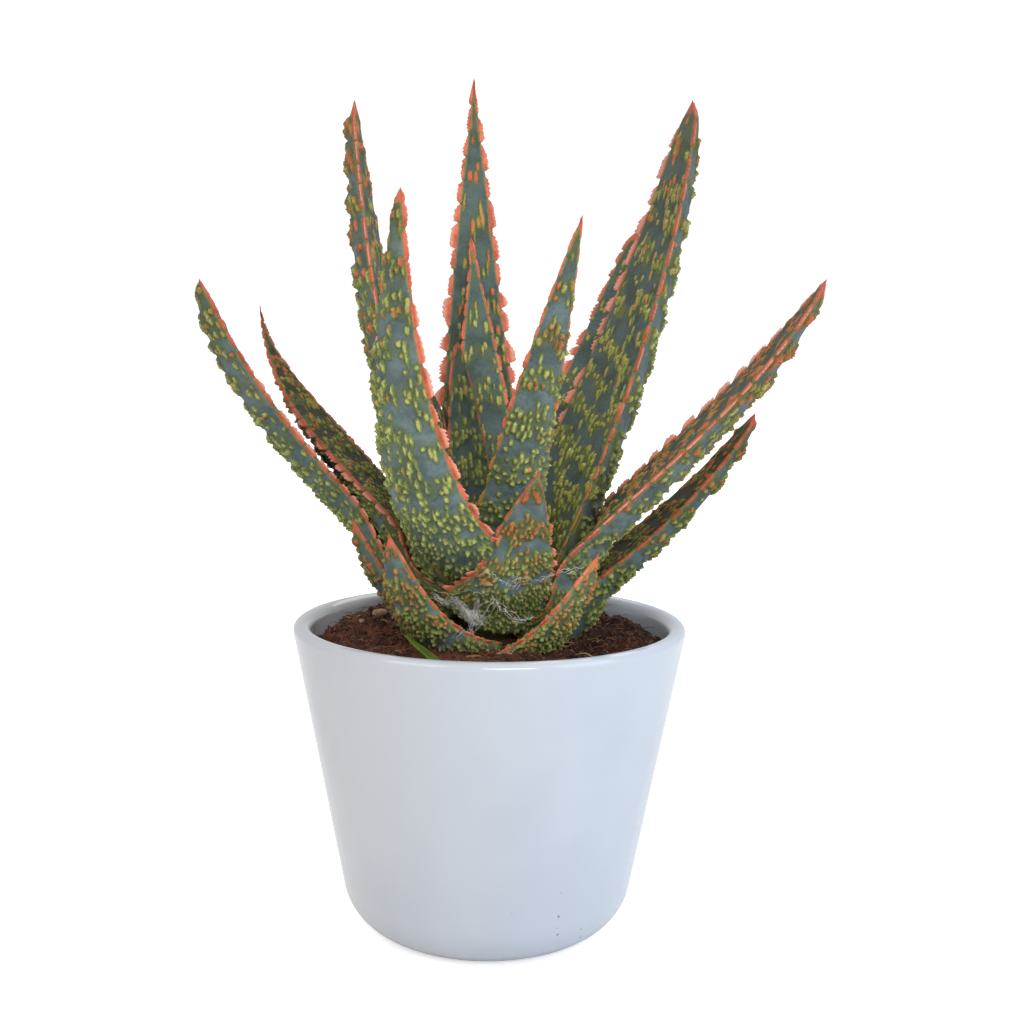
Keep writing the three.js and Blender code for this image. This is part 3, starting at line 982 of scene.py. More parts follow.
FINISHES = {
    "leaf_heart": dict(
        shade_and_tone=0.08, olive=0.5, cover=0.2, warmth=-0.4, lobe=0.55, stretch=2.0, gap=0.0, ochre=0.5,
        tip=3, blunt=2.6,
    ),
    "leaf_inner_left": dict(shade_and_tone=0.3, olive=0.5, ochre=0.7),
    "leaf_centre": dict(
        shade_and_tone=0.95, olive=0.12, cover=-0.1, warmth=-0.25, long=1.3, lobe=0.55, gap=0.4, ochre=0.45,
        blunt=1.0,
    ),
    "leaf_front_right": dict(
        shade_and_tone=1.0, olive=0.3, cover=0.1, warmth=-0.1, lobe=0.65, gap=1.3, ochre=0.4, tip_lobe=0.6,
    ),
    "leaf_front_left": dict(
        shade_and_tone=0.82, olive=0.25, cover=0.2, warmth=-0.2, long=1.15, lobe=1.1, stretch=0.9, tip=1.3,
        blunt=2.45, slim=0.5,
    ),
    "leaf_back_tall": dict(
        shade_and_tone=0.82, olive=0.05, cover=-0.35, warmth=0.05, long=1.7, lobe=1.1, stretch=1.3,
        ochre=0.22,
    ),
    "leaf_slim_right": dict(shade_and_tone=0.7, olive=0.42, cover=-0.3, warmth=-0.2, stretch=0.8, far=1.3),
    "leaf_upright_left": dict(shade_and_tone=0.62, olive=0.35, cover=0.1, warmth=-0.05, long=1.2),
    "leaf_upright_right": dict(
        shade_and_tone=0.5, olive=0.8, dark_cast_and_shade=0.1, cover=-0.15, warmth=-0.2, pitch=2.1, long=1.25, patchy=1.4,
        bands=0.25, lobe=0.7, far=2.7, stretch=1.2, gap=1.8, ochre=0.3, blunt=1.6,
    ),
    "leaf_left_back": dict(
        shade_and_tone=0.25, olive=0.65, dark_cast_and_shade=0.8, cover=0.2, warmth=0.1, far=1.7, far_end=0.65, curl=-0.4,
        stretch=0.55, gap=0.2, tip=2, tip_lobe=0.5,
    ),
    "leaf_far_left": dict(
        shade_and_tone=0.5, olive=0.4, cover=0.15, warmth=-0.35, long=1.1, far=2.3, far_end=0.85, gap=0.5,
        tip=3, blunt=1.6, tip_lobe=0.6, curl=0.2,
    ),
    "leaf_far_right": dict(
        shade_and_tone=0.72, olive=0.3, dark_cast_and_shade=0.4, cover=-0.15, warmth=0.05, inner_warmth=0.45, long=1.3,
        lobe=1.4, far=2.5, stretch=0.8, gap=1.0,
    ),
    "leaf_low_right": dict(
        shade_and_tone=0.3, olive=0.5, dark_cast_and_shade=1.0, cover=0.0, warmth=-0.1, inner_warmth=0.3, pitch=2.0,
        lobe=0.7, far=2.2, gap=2.0, tip_lobe=0.2,
    ),
    "leaf_front": dict(
        shade_and_tone=1.0, olive=0.95, cover=0.3, warmth=0.2, pitch=1.6, long=0.65, lobe=1.15, tip=2,
        tip_lobe=0.12, clasp=10, clasp_end=0.85, slim=0.45,
    ),
    "leaf_low_front_left": dict(
        shade_and_tone=0.9, olive=0.8, cover=0.65, warmth=0.05, pitch=1.5, long=0.7, lobe=0.6, gap=1.6,
        tip_lobe=0.35,
    ),
    "leaf_low_front_right": dict(
        shade_and_tone=1.4, olive=0.7, cover=0.9, warmth=0.1, pitch=1.5, long=0.7, lobe=0.5, gap=1.6,
        tip_lobe=0.4,
    ),
    "leaf_low_left": dict(shade_and_tone=0.45, olive=0.7, cover=0.5, long=0.8, lobe=0.7, gap=1.5),
}


def turned_about(vectors, axes, angles):
    """Each row of vectors turned about its row of axes."""
    c, s = np.cos(angles)[:, None], np.sin(angles)[:, None]
    along = (vectors * axes).sum(1, keepdims=True)
    return vectors * c + np.cross(axes, vectors) * s + axes * along * (1 - c)


def leaf_course(leaf):
    """Stations along the leaf: share of length, place, and across and inner-face directions."""
    steps = COURSE_STEPS
    share = np.arange(steps + 1) / steps
    first, last = np.radians(leaf["rise"])
    rise = last + (first - last) * (1 - share) ** leaf["hook"]
    heading = np.radians(leaf["heading"] + leaf["sweep"] * share)
    level = np.cos(rise)
    along = np.stack([level * np.cos(heading), level * np.sin(heading), np.sin(rise)], 1)
    across = np.stack([-np.sin(heading), np.cos(heading), 0 * heading], 1)
    across = turned_about(across, along, np.radians(leaf["roll"] + leaf["twist"] * share))
    face = np.cross(along, across)
    out = np.radians(leaf["heading"])
    foot = leaf.get("foot", (LEAF_START * math.cos(out), LEAF_START * math.sin(out)))
    place = np.empty((steps + 1, 3))
    place[0] = (foot[0], foot[1], leaf["height"])
    onward = (along[:-1] + along[1:]) / 2 * leaf["length"] / steps
    place[1:] = place[0] + np.cumsum(onward, axis=0)
    return share, place, across, face


def at_shares(share, table, wanted):
    return np.stack([np.interp(wanted, share, table[:, k]) for k in range(3)], 1)


def strip_reach(random, s, length, stretch, gap):
    """How far a margin strip stands out at each distance s, as a share of its full reach.

    A strip is cut off short at one end, runs out thinly at the other, and has a toothed edge.
    """
    reach = np.full(len(s), STRIP_MIN)
    at = 0.03 * length
    while at < length - 1.0:
        share = at / length
        more = stretch * (STRIP_STRETCH[0] + STRIP_STRETCH[1] * share)
        span = random.uniform(*STRIP_PIECE) + more * random.uniform(0.15, 1)
        span *= min(1.0, 0.5 + length / 250)
        inside = (s >= at) & (s < at + span)
        along = (s[inside] - at) / span
        if random.uniform(0, 1) < 0.3:
            along = 1 - along
        blunt = np.clip(along * span / random.uniform(0.5, 1.2), 0, 1) ** 0.6
        run_out = np.clip((1 - along) / random.uniform(0.12, 0.6), 0, 1)
        run_out **= random.uniform(0.5, 0.9)
        teeth = (along * span / random.uniform(*TOOTH_SPACING)) % 1
        teeth *= random.uniform(*TOOTH_DEPTH)
        outline = random.uniform(0.75, 1.3) * blunt * run_out - teeth
        outline -= random.uniform(0, 0.1, inside.sum())
        reach[inside] = np.maximum(outline, STRIP_MIN)
        at += span + random.uniform(0.1, 1.0) * gap
    # Near the tip the pieces join up.
    joined = 0.4 * np.clip(1 - (length - s) / STRIP_JOINS_OVER, 0, 1) ** 0.5
    uneven_by = random.uniform(-0.15, 0, len(s))
    return np.maximum(reach, joined + np.where(joined > 0, uneven_by, 0))


def wave_field(random, count=6, low=0.03, high=0.2):
    """A soft random function of two lengths in millimetres, about -1 to 1, for arrays."""
    full = 2 * math.pi
    ways = [
        (random.uniform(low, high), random.uniform(-high, high), random.uniform(0, full))
        for _ in range(count)
    ]
    return lambda a, b: sum(np.sin(full * (a * p + b * q) + r) for p, q, r in ways) * 1.5 / count


def crowd_field(random, length, cover, patchy, bands):
    """How thickly the spots stand on one face: 0 in the bare bands and 1 in the crowded ones."""
    period = random.uniform(*BAND_PERIOD)
    phase = random.uniform(0, 2 * math.pi)
    bow = random.uniform(*BAND_BOW)
    wobble, blotch = wave_field(random), wave_field(random, 7, 0.02, 0.1)

    def crowd(s, u, width):
        share = s / length
        turns = (s + bow * (u - 0.5) ** 2 * 4 + BAND_WOBBLE * wobble(s, u * width)) / period
        value = bands * np.sin(2 * math.pi * turns + phase) + (1.75 - bands) * blotch(s, u * width)
        value = patchy * value + 1.1 * (1 - share) ** 2 - 0.25 + cover
        v = np.clip((value + 0.45) / 0.9, 0, 1)
        return v * v * (3 - 2 * v)

    return crowd


def sow_spots(random, length, widths, crowd, inner, finish):
    """The raised spots of one face: (s, share across, half length, half width, warmth)."""
    heat = wave_field(random, 6, 0.02, 0.12)
    stray = 0.2 / finish["patchy"] ** 2
    found = []
    s = FIRST_SPOTS
    while s < length - 1.5:
        share = s / length
        width = float(np.interp(share, *widths))
        columns = max(1, int(width / finish["pitch"]))
        row_shift = random.uniform(0, 1)
        for j in range(columns):
            u = (j + row_shift + random.uniform(-0.3, 0.3)) / columns
            here = s + random.uniform(-0.9, 0.9) * finish["long"] ** 1.5
            if not 0.02 < u < 0.98:
                continue
            chance = stray + (0.88 - stray) * float(crowd(here, u, width))
            if random.uniform(0, 1) > chance:
                continue
            # Warmer towards the tip and the margins.
            from_margin = min(u, 1 - u) * width
            warm = 0.9 * share - 0.12 + 0.2 * math.exp(-from_margin / 2.0)
            warm += 0.3 * float(heat(here, u * width)) + finish["warmth"]
            warm += random.normal() * 0.17 + (finish["inner_warmth"] if inner else 0)
            half_length = SPOT_LENGTH[0] + SPOT_LENGTH[1] * share
            half_length = half_length * random.uniform(0.6, 1.6) * finish["long"]
            half_width = (SPOT_WIDTH[0] + SPOT_WIDTH[1] * share) * finish["pitch"]
            half_width *= random.uniform(0.65, 1.35)
            found.append((here, u, half_length, half_width, min(max(warm, 0.0), 1.0)))
        row = (SPOT_ROW[0] + SPOT_ROW[1] * share) * finish["long"]
        s += row * random.uniform(0.85, 1.15)
    return found


def raise_spots(spots, s_rings, across, height, lift, depth, warm, fleck, random):
    """Adds spots to one face, given how far across it each column lies, in millimetres."""
    rings, columns = across.shape
    step = s_rings[1] - s_rings[0]
    total = across[:, -1]
    for s0, u, a, b, warmth in spots:
        from_first = s0 - s_rings[0]
        first = max(0, int((from_first - a * 1.35) / step))
        last = min(rings, int((from_first + a * 1.35) / step) + 2)
        if last - first < 2:
            continue
        middle = min(max(int(from_first / step), 0), rings - 1)
        centre = u * total[middle]
        c0, c1 = np.searchsorted(across[middle], (centre - b * 1.6, centre + b * 1.6))
        c0, c1 = max(0, c0 - 1), min(columns, c1 + 1)
        column = np.interp(centre, across[middle], np.arange(columns))
        whole = int(column)
        part = column - whole
        nxt = min(whole + 1, columns - 1)
        line = across[first:last, whole] * (1 - part) + across[first:last, nxt] * part
        ds = (s_rings[first:last] - s0) / a
        du = (across[first:last, c0:c1] - line[:, None]) / b
        d = np.abs(ds[:, None]) ** SPOT_ROUNDNESS + np.abs(du) ** SPOT_ROUNDNESS
        d **= 1 / SPOT_ROUNDNESS
        inside = np.clip(1 - d * d, 0, 1) ** 0.6
        # Each stands higher towards the tip, and fleck marks that side for its painted highlight.
        tall = height * random.uniform(0.7, 1.3)
        dome = inside * tall * (1 + 0.55 * np.clip(ds[:, None], -1, 1))
        here = (slice(first, last), slice(c0, c1))
        lift[here] = np.maximum(lift[here], dome)
        signed = (1 - d) * b
        deeper = signed > depth[here]
        depth[here][deeper] = signed[deeper]
        warm[here][deeper] = warmth
        fleck[here][deeper] = np.clip(ds[:, None] * 0.7 + 0.25 + 0 * du, 0, 1)[deeper]


def softened(field, along_steps, across_steps):
    """The field blurred along its rows and across its columns."""
    for axis, steps in ((0, along_steps), (1, across_steps)):
        offsets = np.arange(-3 * steps, 3 * steps + 1)
        weights = np.exp(-0.5 * (offsets / max(steps, 1)) ** 2)
        weights /= weights.sum()
        pad = [(0, 0), (0, 0)]
        pad[axis] = (3 * steps, 3 * steps)
        padded = np.pad(field, pad, mode="edge")
        field = np.apply_along_axis(np.convolve, axis, padded, weights, mode="valid")
    return field


def give_way(inner_points, face, t, younger, deepest, end):
    """How far each place across the inner face sinks to clear the younger leaves that it clasps."""
    rings = np.arange(0, len(t), CLASP_RING_STRIDE)
    columns = np.linspace(0, inner_points.shape[1] - 1, CLASP_COLUMNS).astype(int)
    sunk = np.zeros((len(rings), CLASP_COLUMNS))
    reach = deepest + BLADE_CLEARANCE
    for i, ring in enumerate(rings):
        if t[ring] > end:
            break
        up = Vector(face[ring])
        for j, column in enumerate(columns):
            start = Vector(inner_points[ring, column]) - up * deepest
            for tree, low, high in younger:
                near = zip(low - CLASP_BOX, start, high + CLASP_BOX)
                if not all(least < at < most for least, at, most in near):
                    continue
                hit, normal, _, distance = tree.ray_cast(start, up, reach)
                if hit is not None and normal.dot(up) < 0:
                    sunk[i, j] = max(sunk[i, j], reach - distance)
    sunk *= np.clip((end - t[rings]) / CLASP_FADE, 0, 1)[:, None]
    sunk = softened(np.maximum(sunk, softened(sunk, 2, 1) * 1.25), 2, 1)
    every = np.arange(len(t))
    return np.stack([np.interp(every, rings, column) for column in sunk.T], 1)


def body_tree(inner_points, outer_points):
    """A search tree of a leaf's plain body, without its strips and spots, and its box."""
    section = np.concatenate([inner_points, outer_points], axis=1)[::4, ::3]
    rings, columns = section.shape[:2]
    flat = section.reshape(-1, 3)
    faces = [
        (i * columns + j, i * columns + (j + 1) % columns,
         (i + 1) * columns + (j + 1) % columns, (i + 1) * columns + j)
        for i in range(rings - 1)
        for j in range(columns)
    ]
    return BVHTree.FromPolygons([Vector(p) for p in flat], faces), flat.min(0), flat.max(0)


def spread(low, high, depth, width):
    """Shares of an angle range that space points evenly round a half ellipse."""
    angles = np.linspace(low, high, 500)
    x, z = 0.46 * width * np.cos(angles), depth * width * np.sin(angles)
    run = np.concatenate([[0], np.cumsum(np.hypot(np.diff(x), np.diff(z)))])
    count = max(12, int(run[-1] / COLUMN_STEP))
    return (np.interp(np.linspace(0, run[-1], count), run, angles) - low) / (high - low)


def leaf_widths(leaf, finish, t):
    """The leaf's width at shares t of its length."""
    from_tip = (1 - t) * leaf["length"]
    w = leaf["width"] * (1 - t ** leaf["shoulder"]) ** leaf["taper"]
    w = w * np.clip(from_tip / TIP_CLOSES_OVER, 0, 1) ** 0.45
    w = w * np.clip(t * leaf["length"] / FOOT_OPENS_OVER, 0.05, 1) ** 0.5
    return np.maximum(w, finish["blunt"] * np.sqrt(np.clip(from_tip, 0, BLUNT_OVER)))


def press_back(points, ends, face, sunk):
    """Moves one face's points back by what the leaf gives way, from its first edge to its last."""
    at = np.linspace(*ends, points.shape[1])
    knots = np.linspace(0, 1, CLASP_COLUMNS)
    drop = np.stack([np.interp(at, knots, row) for row in sunk])
    points -= face[:, None] * drop[..., None]


def set_attributes(piece, attributes, rings, columns):
    """Gives the piece its attributes: four fields each, read at every point's ring and column."""
    for label, fields in attributes.items():
        attribute = piece.data.attributes.new(label, "FLOAT_COLOR", "POINT")
        values = np.stack(fields, axis=2)[rings, columns]
        attribute.data.foreach_set("color", np.ascontiguousarray(values, np.float32).ravel())


def build_leaf(name, row, seed, younger, material, slot, node, plain=False):
    """A grid rolled up along the leaf's course, shaped into its section and merged at its seam.

    A plain leaf has no spots and no margin strips.
    """
    leaf = {**LEAF_DEFAULTS, **row}
    finish = {**FINISH_DEFAULTS, **FINISHES.get(node, {})}
    random = np.random.default_rng(seed)
    length, width = leaf["length"], leaf["width"]
    rings = int(length / RING_STEP)
    t = np.linspace(0.006, 0.999, rings)
    s = t * length
    share, *stations = leaf_course(leaf)
    place, across, face = (at_shares(share, table, t) for table in stations)
    w = leaf_widths(leaf, finish, t)
    strip = (0.5 + 0.055 * width) * np.clip(w / (0.6 * width), 0.5, 1)
    if plain:
        strip = np.full(rings, PLAIN_EDGE)
    half = np.maximum(w / 2 - 0.35 * strip, FACE_LEAST * w)
    hollow = w * (CHANNEL * (1 - t) + CLASP * np.exp(-t / CLASP_REACH))
    slimmed = 1 - finish["slim"] * np.exp(-((t / SLIM_OVER) ** 2))
    thick = np.minimum(2 * PLAIN_EDGE if plain else MARGIN_THICK, 0.14 * w)
    corner = np.arcsin(np.clip(thick / np.maximum((BELLY + CROWN) * w, 1e-6), 0, 0.6))[:, None]
    sweep = math.pi - 2 * corner
    low, high = FACE_START, math.pi - FACE_START
    inner_a = corner + sweep * spread(low, high, CROWN + 0.07, width)
    outer_a = corner + sweep * spread(math.pi + low, math.pi + high, BELLY, width) + math.pi

    def face_points(a, depth):
        x = half[:, None] * np.cos(a)
        z = hollow[:, None] * (np.cos(a) ** 2 - 1) + (w * depth * slimmed)[:, None] * np.sin(a)
        return place[:, None] + across[:, None] * x[..., None] + face[:, None] * z[..., None]

    inner_points, outer_points = face_points(inner_a, CROWN), face_points(outer_a, BELLY)

    # Older leaves give way to the younger ones that they clasp.
    if younger:
        sunk = give_way(inner_points, face, t, younger, finish["clasp"], finish["clasp_end"])
        press_back(inner_points, (0, 1), face, sunk)
        press_back(outer_points, (1, 0), face, sunk)
    own_tree = body_tree(inner_points, outer_points)

    # How wide the strips on the two sides can be, and how far they stand out at each ring.
    toward_tip = 1 + (finish["tip_lobe"] - 1) * np.clip((t - 0.3) / 0.5, 0, 1)
    lobe = strip * ((0.8 + 0.5 * t) * toward_tip) * finish["lobe"]
    far_more = 1 + (finish["far"] - 1) * np.clip((finish["far_end"] - t) / 0.2, 0, 1)
    sizes = {
        side: np.minimum(lobe * more, 0.28 * w + 0.25) for side, more in ((1, far_more), (-1, 1))
    }
    ending = np.clip((1 - t) * length / STRIP_ENDS_OVER, 0, 1)
    reaches = {
        side: size * ending * strip_reach(random, s, length, finish["stretch"], finish["gap"])
        for side, size in sizes.items()
    }

    def strip_points(side):
        top_root = inner_points[:, 0 if side > 0 else -1]
        under_root = outer_points[:, -1 if side > 0 else 0]
        middle = (top_root + under_root) / 2
        thickness = top_root - under_root
        slope = 1.3 * hollow / np.maximum(half, 0.1)
        bent = finish["curl"] if side > 0 else 0.0
        way = across * side + face * (np.clip(slope, 0, 0.9) + bent)[:, None]
        way /= np.linalg.norm(way, axis=1, keepdims=True)
        shares = np.arange(1, STRIP_COLUMNS) / STRIP_COLUMNS
        centre = middle[:, None] + way[:, None] * (reaches[side][:, None] * shares)[..., None]
        lift = thickness[:, None] * (0.5 * (0.25 + 0.75 * (1 - shares) ** 0.8))[None, :, None]
        tip = middle + way * reaches[side][:, None]
        return centre + lift, centre - lift, tip, shares

    top_p, under_p, tip_p, shares = strip_points(1)
    top_m, under_m, tip_m, _ = strip_points(-1)
    grid = np.concatenate(
        [
            tip_p[:, None], top_p[:, ::-1], inner_points, top_m,
            tip_m[:, None], under_m[:, ::-1], outer_points, under_p,
        ],
        axis=1,
    )
    n_inner, n_outer = inner_points.shape[1], outer_points.shape[1]
    k = STRIP_COLUMNS - 1
    inner_at = 1 + k
    minus_tip = inner_at + n_inner + k
    outer_at = minus_tip + 1 + k
    columns = grid.shape[1]

    # Depth inside the margin, in millimetres: above 0 on a strip, below 0 on a face and between.
    edge = np.full((rings, columns), -DEEP_INSIDE)
    out_and_back = np.r_[shares, 1, shares[::-1]]
    strip_columns = {
        1: np.r_[outer_at + n_outer : columns, 0 : 1 + k],
        -1: np.r_[inner_at + n_inner : outer_at],
    }
    shown = {}
    for side, at in strip_columns.items():
        shown[side] = np.clip(reaches[side] / sizes[side] / 0.1 - 1, 0, 1)[:, None]
        outside = reaches[side][:, None] * out_and_back + STRIP_START
        edge[:, at] = outside * shown[side] - FACE_EDGE * (1 - shown[side])

    # Crowded bands swell a little, and the spots stand on them.
    lift = np.zeros((rings, columns))
    depth = np.full((rings, columns), -1.0)
    warm, fleck, crowding = (np.zeros((rings, columns)) for _ in range(3))
    for first, count, inner in ((inner_at, n_inner, True), (outer_at, n_outer, False)):
        part = grid[:, first : first + count]
        steps = np.linalg.norm(np.diff(part, axis=1), axis=2)
        run = np.concatenate([np.zeros((rings, 1)), np.cumsum(steps, axis=1)], axis=1)
        total = run[:, -1:]
        from_edge = np.minimum(run, total - run)
        nearer_start = (run < total / 2) == inner
        spill = np.where(nearer_start, shown[1], shown[-1])
        window = (slice(None), slice(first, first + count))
        edge[window] = (STRIP_START + FACE_EDGE) * spill - FACE_EDGE
        edge[window] -= np.minimum(from_edge, DEEP_INSIDE)
        if plain:
            continue
        crowd = crowd_field(random, length, finish["cover"], finish["patchy"], finish["bands"])
        crowding[window] = crowd(s[:, None], run / total, total)
        sown = sow_spots(random, length, (t, run[:, -1]), crowd, inner, finish)
        height = SPOT_HEIGHT_INSIDE if inner else SPOT_HEIGHT_OUTSIDE
        fields = (field[window] for field in (lift, depth, warm, fleck))
        raise_spots(sown, s, run, height, *fields, random)
        swell = (BAND_SWELL_INSIDE if inner else BAND_SWELL_OUTSIDE) * crowding[window]
        room = np.clip(from_edge / 0.7, 0, 1) * np.clip(w / 11, 0.2, 1)[:, None]
        lift[window] = (lift[window] + swell) * room
        depth[window] = np.minimum(depth[window], from_edge - 0.15)

    # Spots stand out along the surface's own direction, and the skin is never quite even.
    around = np.roll(grid, -1, axis=1) - np.roll(grid, 1, axis=1)
    onward = np.gradient(grid, axis=0)
    normal = np.cross(around, onward)
    normal /= np.maximum(np.linalg.norm(normal, axis=2, keepdims=True), 1e-9)
    rough = 1 + random.uniform(-0.3, 0.3, lift.shape)
    jitter = np.where(edge > 0, random.uniform(-0.05, 0.05, lift.shape), 0)
    grid = grid + normal * (lift * rough + jitter)[..., None]

    # The sheet's rows go round the leaf. Its first and last rows close the stem end and the tip.
    deselect_all()
    bpy.ops.mesh.primitive_grid_add(x_subdivisions=columns, y_subdivisions=rings + 1, size=2)
    piece = start_piece(name)
    sheet = points_of(piece)
    column_of = np.rint((sheet[:, 0] + 1) / 2 * columns).astype(int) % columns
    row_of = np.rint((sheet[:, 1] + 1) / 2 * (rings + 1)).astype(int)
    ring_of = np.clip(row_of - 1, 0, rings - 1)
    co = grid[ring_of, column_of]
    co[row_of == 0] = grid[0].mean(0)
    co[row_of == rings + 1] = grid[-1].mean(0) + (grid[-1].mean(0) - grid[-2].mean(0)) * 1.6
    set_points(piece, co * MM)

    inner_mask = np.zeros((rings, columns))
    inner_mask[:, inner_at - k : inner_at + n_inner + k] = 1
    long_share = np.repeat(t[:, None], columns, 1)
    even = np.ones((rings, columns))
    from_tip = np.clip((1 - long_share) * length / 10 * finish["tip"], 0, 1)
    attributes = {
        "marks": (np.clip(0.5 + depth / 2, 0, 1), warm, np.clip(0.5 + edge / 8, 0, 1), fleck),
        "place_on_leaf": (long_share, inner_mask, finish["shade_and_tone"] * even, from_tip),
        "skin_tint": (crowding, *(finish[cast] * even for cast in ("olive", "dark_cast_and_shade", "ochre"))),
    }
    set_attributes(piece, attributes, ring_of, column_of)
    # Its two long edges meet under the leaf's margin and are merged there.
    merge_doubles(piece)
    bpy.ops.object.mode_set(mode="OBJECT")
    smooth(piece)
    dress(piece, material, slot, node)
    return piece, own_tree


def make_leaves():
    """The leaves' pieces by node, youngest first, each made to clear the ones before it."""
    pieces, trees = {}, []
    for number, (node, row) in enumerate(LEAVES.items()):
        # Leaves whose inner faces carry the most painted shade get the duller skin.
        skin = DULL_SKIN if FINISHES.get(node, {}).get("dark_cast_and_shade", 0) > 0.5 else ALOE_SKIN
        seed = LEAF_SEED + number
        pieces[node], tree = build_leaf("toothed_" + node, row, seed, trees, skin, "leaf", node)
        trees.append(tree)
    build_leaf("pup_spike", PUP_LEAF, PUP_SEED, [], YOUNG, "young_leaf", "pup_leaf", plain=True)
    return pieces


# ---- what lies on the leaves and the soil ----

LITTER_SEED = 31
DRAPE_STEP = 2.2  # pixels from one point of a thread to the next
DRAPE_WANDER = 0.8
DRAPE_LIFT = 0.0004

def seen_at(px, py, trees):
    """Where the sight line through a pixel first meets the trees, and the surface's direction."""
    way = ray_through(px, py)
    hits = (tree.ray_cast(CAMERA_PLACE, way) for tree in trees)
    hits = [hit for hit in hits if hit[0] is not None]
    if not hits:
        return None, None
    place, normal, _, _ = min(hits, key=lambda hit: hit[3])
    return place, normal


def draped(random, path, radius, trees):
    """A thread that lies over the surfaces along a path of pixels."""
    points = []
    for (x0, y0), (x1, y1) in zip(path, path[1:]):
        count = max(1, int(math.hypot(x1 - x0, y1 - y0) / DRAPE_STEP))
        for i in range(count):
            share = i / count
            px = x0 + (x1 - x0) * share + random.normal() * DRAPE_WANDER
            py = y0 + (y1 - y0) * share + random.normal() * DRAPE_WANDER
            place, _ = seen_at(px, py, trees)
            if place is not None:
                toward = (CAMERA_PLACE - place).normalized()
                above = DRAPE_LIFT * random.uniform(0.4, 1.6) + radius
                points.append(place + toward * above)
    radii = [radius * random.uniform(0.6, 1.3) for _ in points]
    return points, radii


# Old web and dust on the front leaf: (pixels along the thread, radius in mm, threads side by side).
WEB_PATHS = (
    (((434, 596), (446, 604), (458, 600), (468, 612), (474, 628)), 0.055, 20),
    (((452, 600), (462, 610), (470, 622), (472, 634)), 0.06, 26),
    (((478, 600), (476, 612), (472, 624), (471, 635)), 0.07, 22),
    (((466, 612), (480, 615), (482, 622), (470, 630)), 0.09, 14),
    (((474, 632), (484, 622), (492, 612), (499, 602), (496, 592)), 0.15, 3),
    (((499, 600), (503, 610), (510, 612), (517, 620), (525, 621), (535, 614)), 0.26, 3),
    (((512, 618), (520, 623), (530, 618), (537, 616)), 0.14, 2),
    (
        ((475, 577), (485, 571), (500, 580), (512, 586), (520, 579), (540, 580), (552, 577)),
        0.09, 2,
    ),
    (((508, 586), (513, 577), (520, 576), (518, 586), (510, 590)), 0.11, 2),
    (((540, 582), (556, 574), (570, 571), (578, 570), (587, 566)), 0.1, 2),
    (((566, 573), (571, 571), (577, 571)), 0.3, 2),
    (((432, 590), (450, 594), (470, 590), (490, 596)), 0.06, 2),
    (((455, 640), (462, 630), (468, 618), (480, 606), (492, 600)), 0.08, 3),
)

# Dried bits: (pixel, length, width and thickness in mm, turn in degrees, what they lie on).
FLAKES = (
    ((487, 583), (4.6, 2.0, 1.0), -12, "leaves"),
    ((443, 586), (4.0, 2.0, 0.7), 10, "leaves"),
    ((513, 622), (1.6, 0.9, 0.6), 60, "leaves"),
    ((472, 633), (2.0, 1.2, 0.8), 80, "leaves"),
    ((474, 657), (4.6, 1.3, 0.8), -8, "soil"),
    ((427, 652), (3.0, 0.9, 0.4), 35, "soil"),
)
PEBBLES = (
    ((380, 615), (5.2, 3.6, 3.2)),
    ((357, 607), (4.0, 3.0, 2.6)),
    ((362, 622), (2.2, 1.8, 1.6)),
)
# The leaves that the web and the dried bits can lie on.
UNDER_LITTER = (
    "leaf_front", "leaf_low_front_left", "leaf_low_front_right", "leaf_far_left",
    "leaf_far_right", "leaf_front_left", "leaf_left_back", "leaf_low_right",
)


def knob(name, place, axes, size, material, random):
    """A small uneven lump, sunk a little into what carries it."""
    deselect_all()
    bpy.ops.mesh.primitive_ico_sphere_add(subdivisions=3, radius=0.5)
    piece = start_piece(name)
    co = points_of(piece).astype(float)
    waves = wave_field(random, 5, 0.3, 1.2)
    co *= (1 + 0.16 * waves(co[:, 0] + co[:, 2], co[:, 1] - co[:, 2]))[:, None]
    frame_of = np.array([list(axis) for axis in axes])
    set_points(piece, (co * np.array(size) * MM) @ frame_of + np.array(place))
    smooth(piece)
    dress(piece, material, "soil")


def make_litter(leaf_pieces, soil_tree):
    random = np.random.default_rng(LITTER_SEED)
    trees = [tree_of(leaf_pieces[node]) for node in UNDER_LITTER]
    strands = []
    for path, radius, count in WEB_PATHS:
        for _ in range(count):
            shift = random.normal(size=2) * (1.2 + 1.0 * (count > 2))
            moved = [(x + shift[0], y + shift[1]) for x, y in path]
            thread = draped(random, moved, radius * MM * random.uniform(0.4, 0.8), trees)
            if len(thread[0]) > 3:
                strands.append(thread)
    threads_piece("web_threads", strands, WEB, 5)
    for number, ((px, py), size, degrees, where) in enumerate(FLAKES):
        place, normal = seen_at(px, py, trees if where == "leaves" else [soil_tree])
        if place is None:
            continue
        angle = math.radians(degrees)
        side = view_right * math.cos(angle) + view_up * math.sin(angle)
        side = (side - normal * side.dot(normal)).normalized()
        axes = (side, normal.cross(side), normal)
        above = normal * (0.3 * size[2] * MM)
        knob(f"dried_bit_{number}", place + above, axes, size, DRY, random)
    for number, ((px, py), size) in enumerate(PEBBLES):
        place, _ = seen_at(px, py, [soil_tree])
        if place is None:
            continue
        above = Vector((0, 0, 0.2 * size[2] * MM))
        knob(f"pebble_{number}", place + above, Matrix.Identity(3), size, PEBBLE, random)


# ---- build ----

make_pot()
soil_tree = tree_of(make_soil())
make_crumbs(soil_tree)
make_fibres(soil_tree)
make_stem()
make_litter(make_leaves(), soil_tree)

# ---- floor, light and picture ----

WORLD_LIGHT = 0.76
WORLD_SEEN = 1.1  # what the camera sees behind everything
FLOOR_GLOW = 0.55  # seen by the camera alone

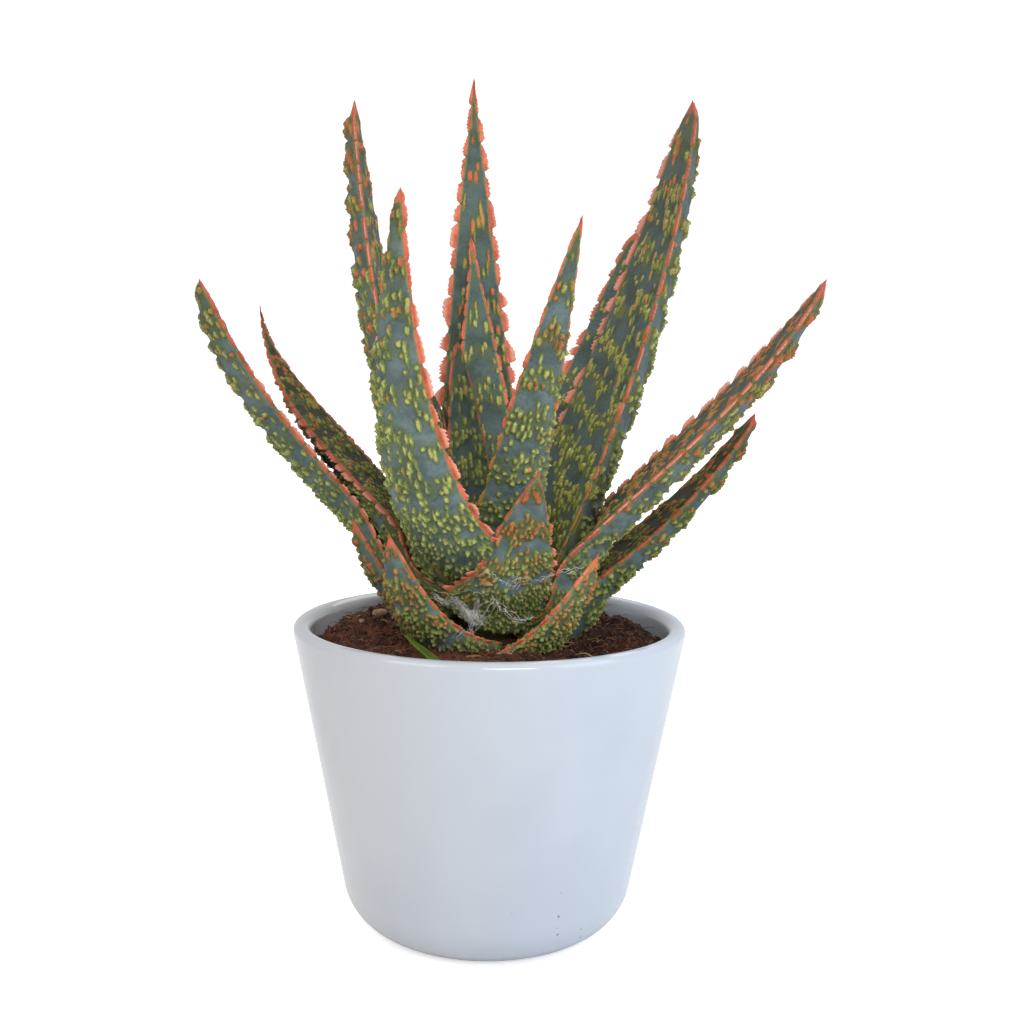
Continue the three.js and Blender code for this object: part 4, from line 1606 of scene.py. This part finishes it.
deselect_all()
bpy.ops.mesh.primitive_circle_add(vertices=96, radius=6.0, fill_type="NGON", location=(0, 0, 0))
floor = bpy.context.object
floor.name = "pale_floor"
floor_material, floor_wiring, _, floor_shader = new_material(
    "pale_floor", Roughness=0.9, Specular_IOR_Level=0.1
)
floor_shader.inputs["Base Color"].default_value = (0.86, 0.86, 0.86, 1)
floor_shader.inputs["Emission Color"].default_value = (1, 1, 1, 1)
by_eye = floor_wiring.node("ShaderNodeLightPath").outputs["Is Camera Ray"]
floor_glow = floor_wiring.times(by_eye, FLOOR_GLOW)
floor_wiring.feed(floor_shader.inputs["Emission Strength"], floor_glow)
floor.data.materials.append(floor_material)


def soft_light(name, place, target, size, power, colour):
    bpy.ops.object.light_add(type="AREA", location=place)
    lamp = bpy.context.object
    lamp.name = name
    lamp.data.shape = "RECTANGLE"
    lamp.data.size, lamp.data.size_y = size
    lamp.data.energy = power
    lamp.data.color = colour
    lamp.rotation_euler = (Vector(target) - Vector(place)).to_track_quat("-Z", "Y").to_euler()


soft_light("key_left", (-1.3, -1.2, 1.5), (0, 0, 0.14), (1.3, 1.1), 10, (1.0, 0.93, 0.84))
soft_light("glint_front", (0.3, -1.5, 0.85), (0, 0, 0.1), (0.8, 0.3), 8, (1.0, 1.0, 1.0))
soft_light("fill_right", (1.5, -0.9, 1.0), (0, 0, 0.12), (1.2, 1.6), 12, (0.8, 0.9, 1.0))
soft_light("back_top", (0.3, 1.4, 1.7), (0, 0, 0.12), (1.6, 1.2), 10, (1.0, 1.0, 1.0))

scene = bpy.context.scene
world = bpy.data.worlds.new("studio")
world.use_nodes = True
sky = Wiring(world.node_tree)
glow = world.node_tree.nodes["Background"]
glow.inputs["Color"].default_value = (1.0, 1.0, 1.0, 1)
seen = sky.node("ShaderNodeLightPath").outputs["Is Camera Ray"]
sky.feed(glow.inputs["Strength"], sky.multiply_add(seen, WORLD_SEEN - WORLD_LIGHT, WORLD_LIGHT))
scene.world = world
scene.view_settings.view_transform = "Standard"
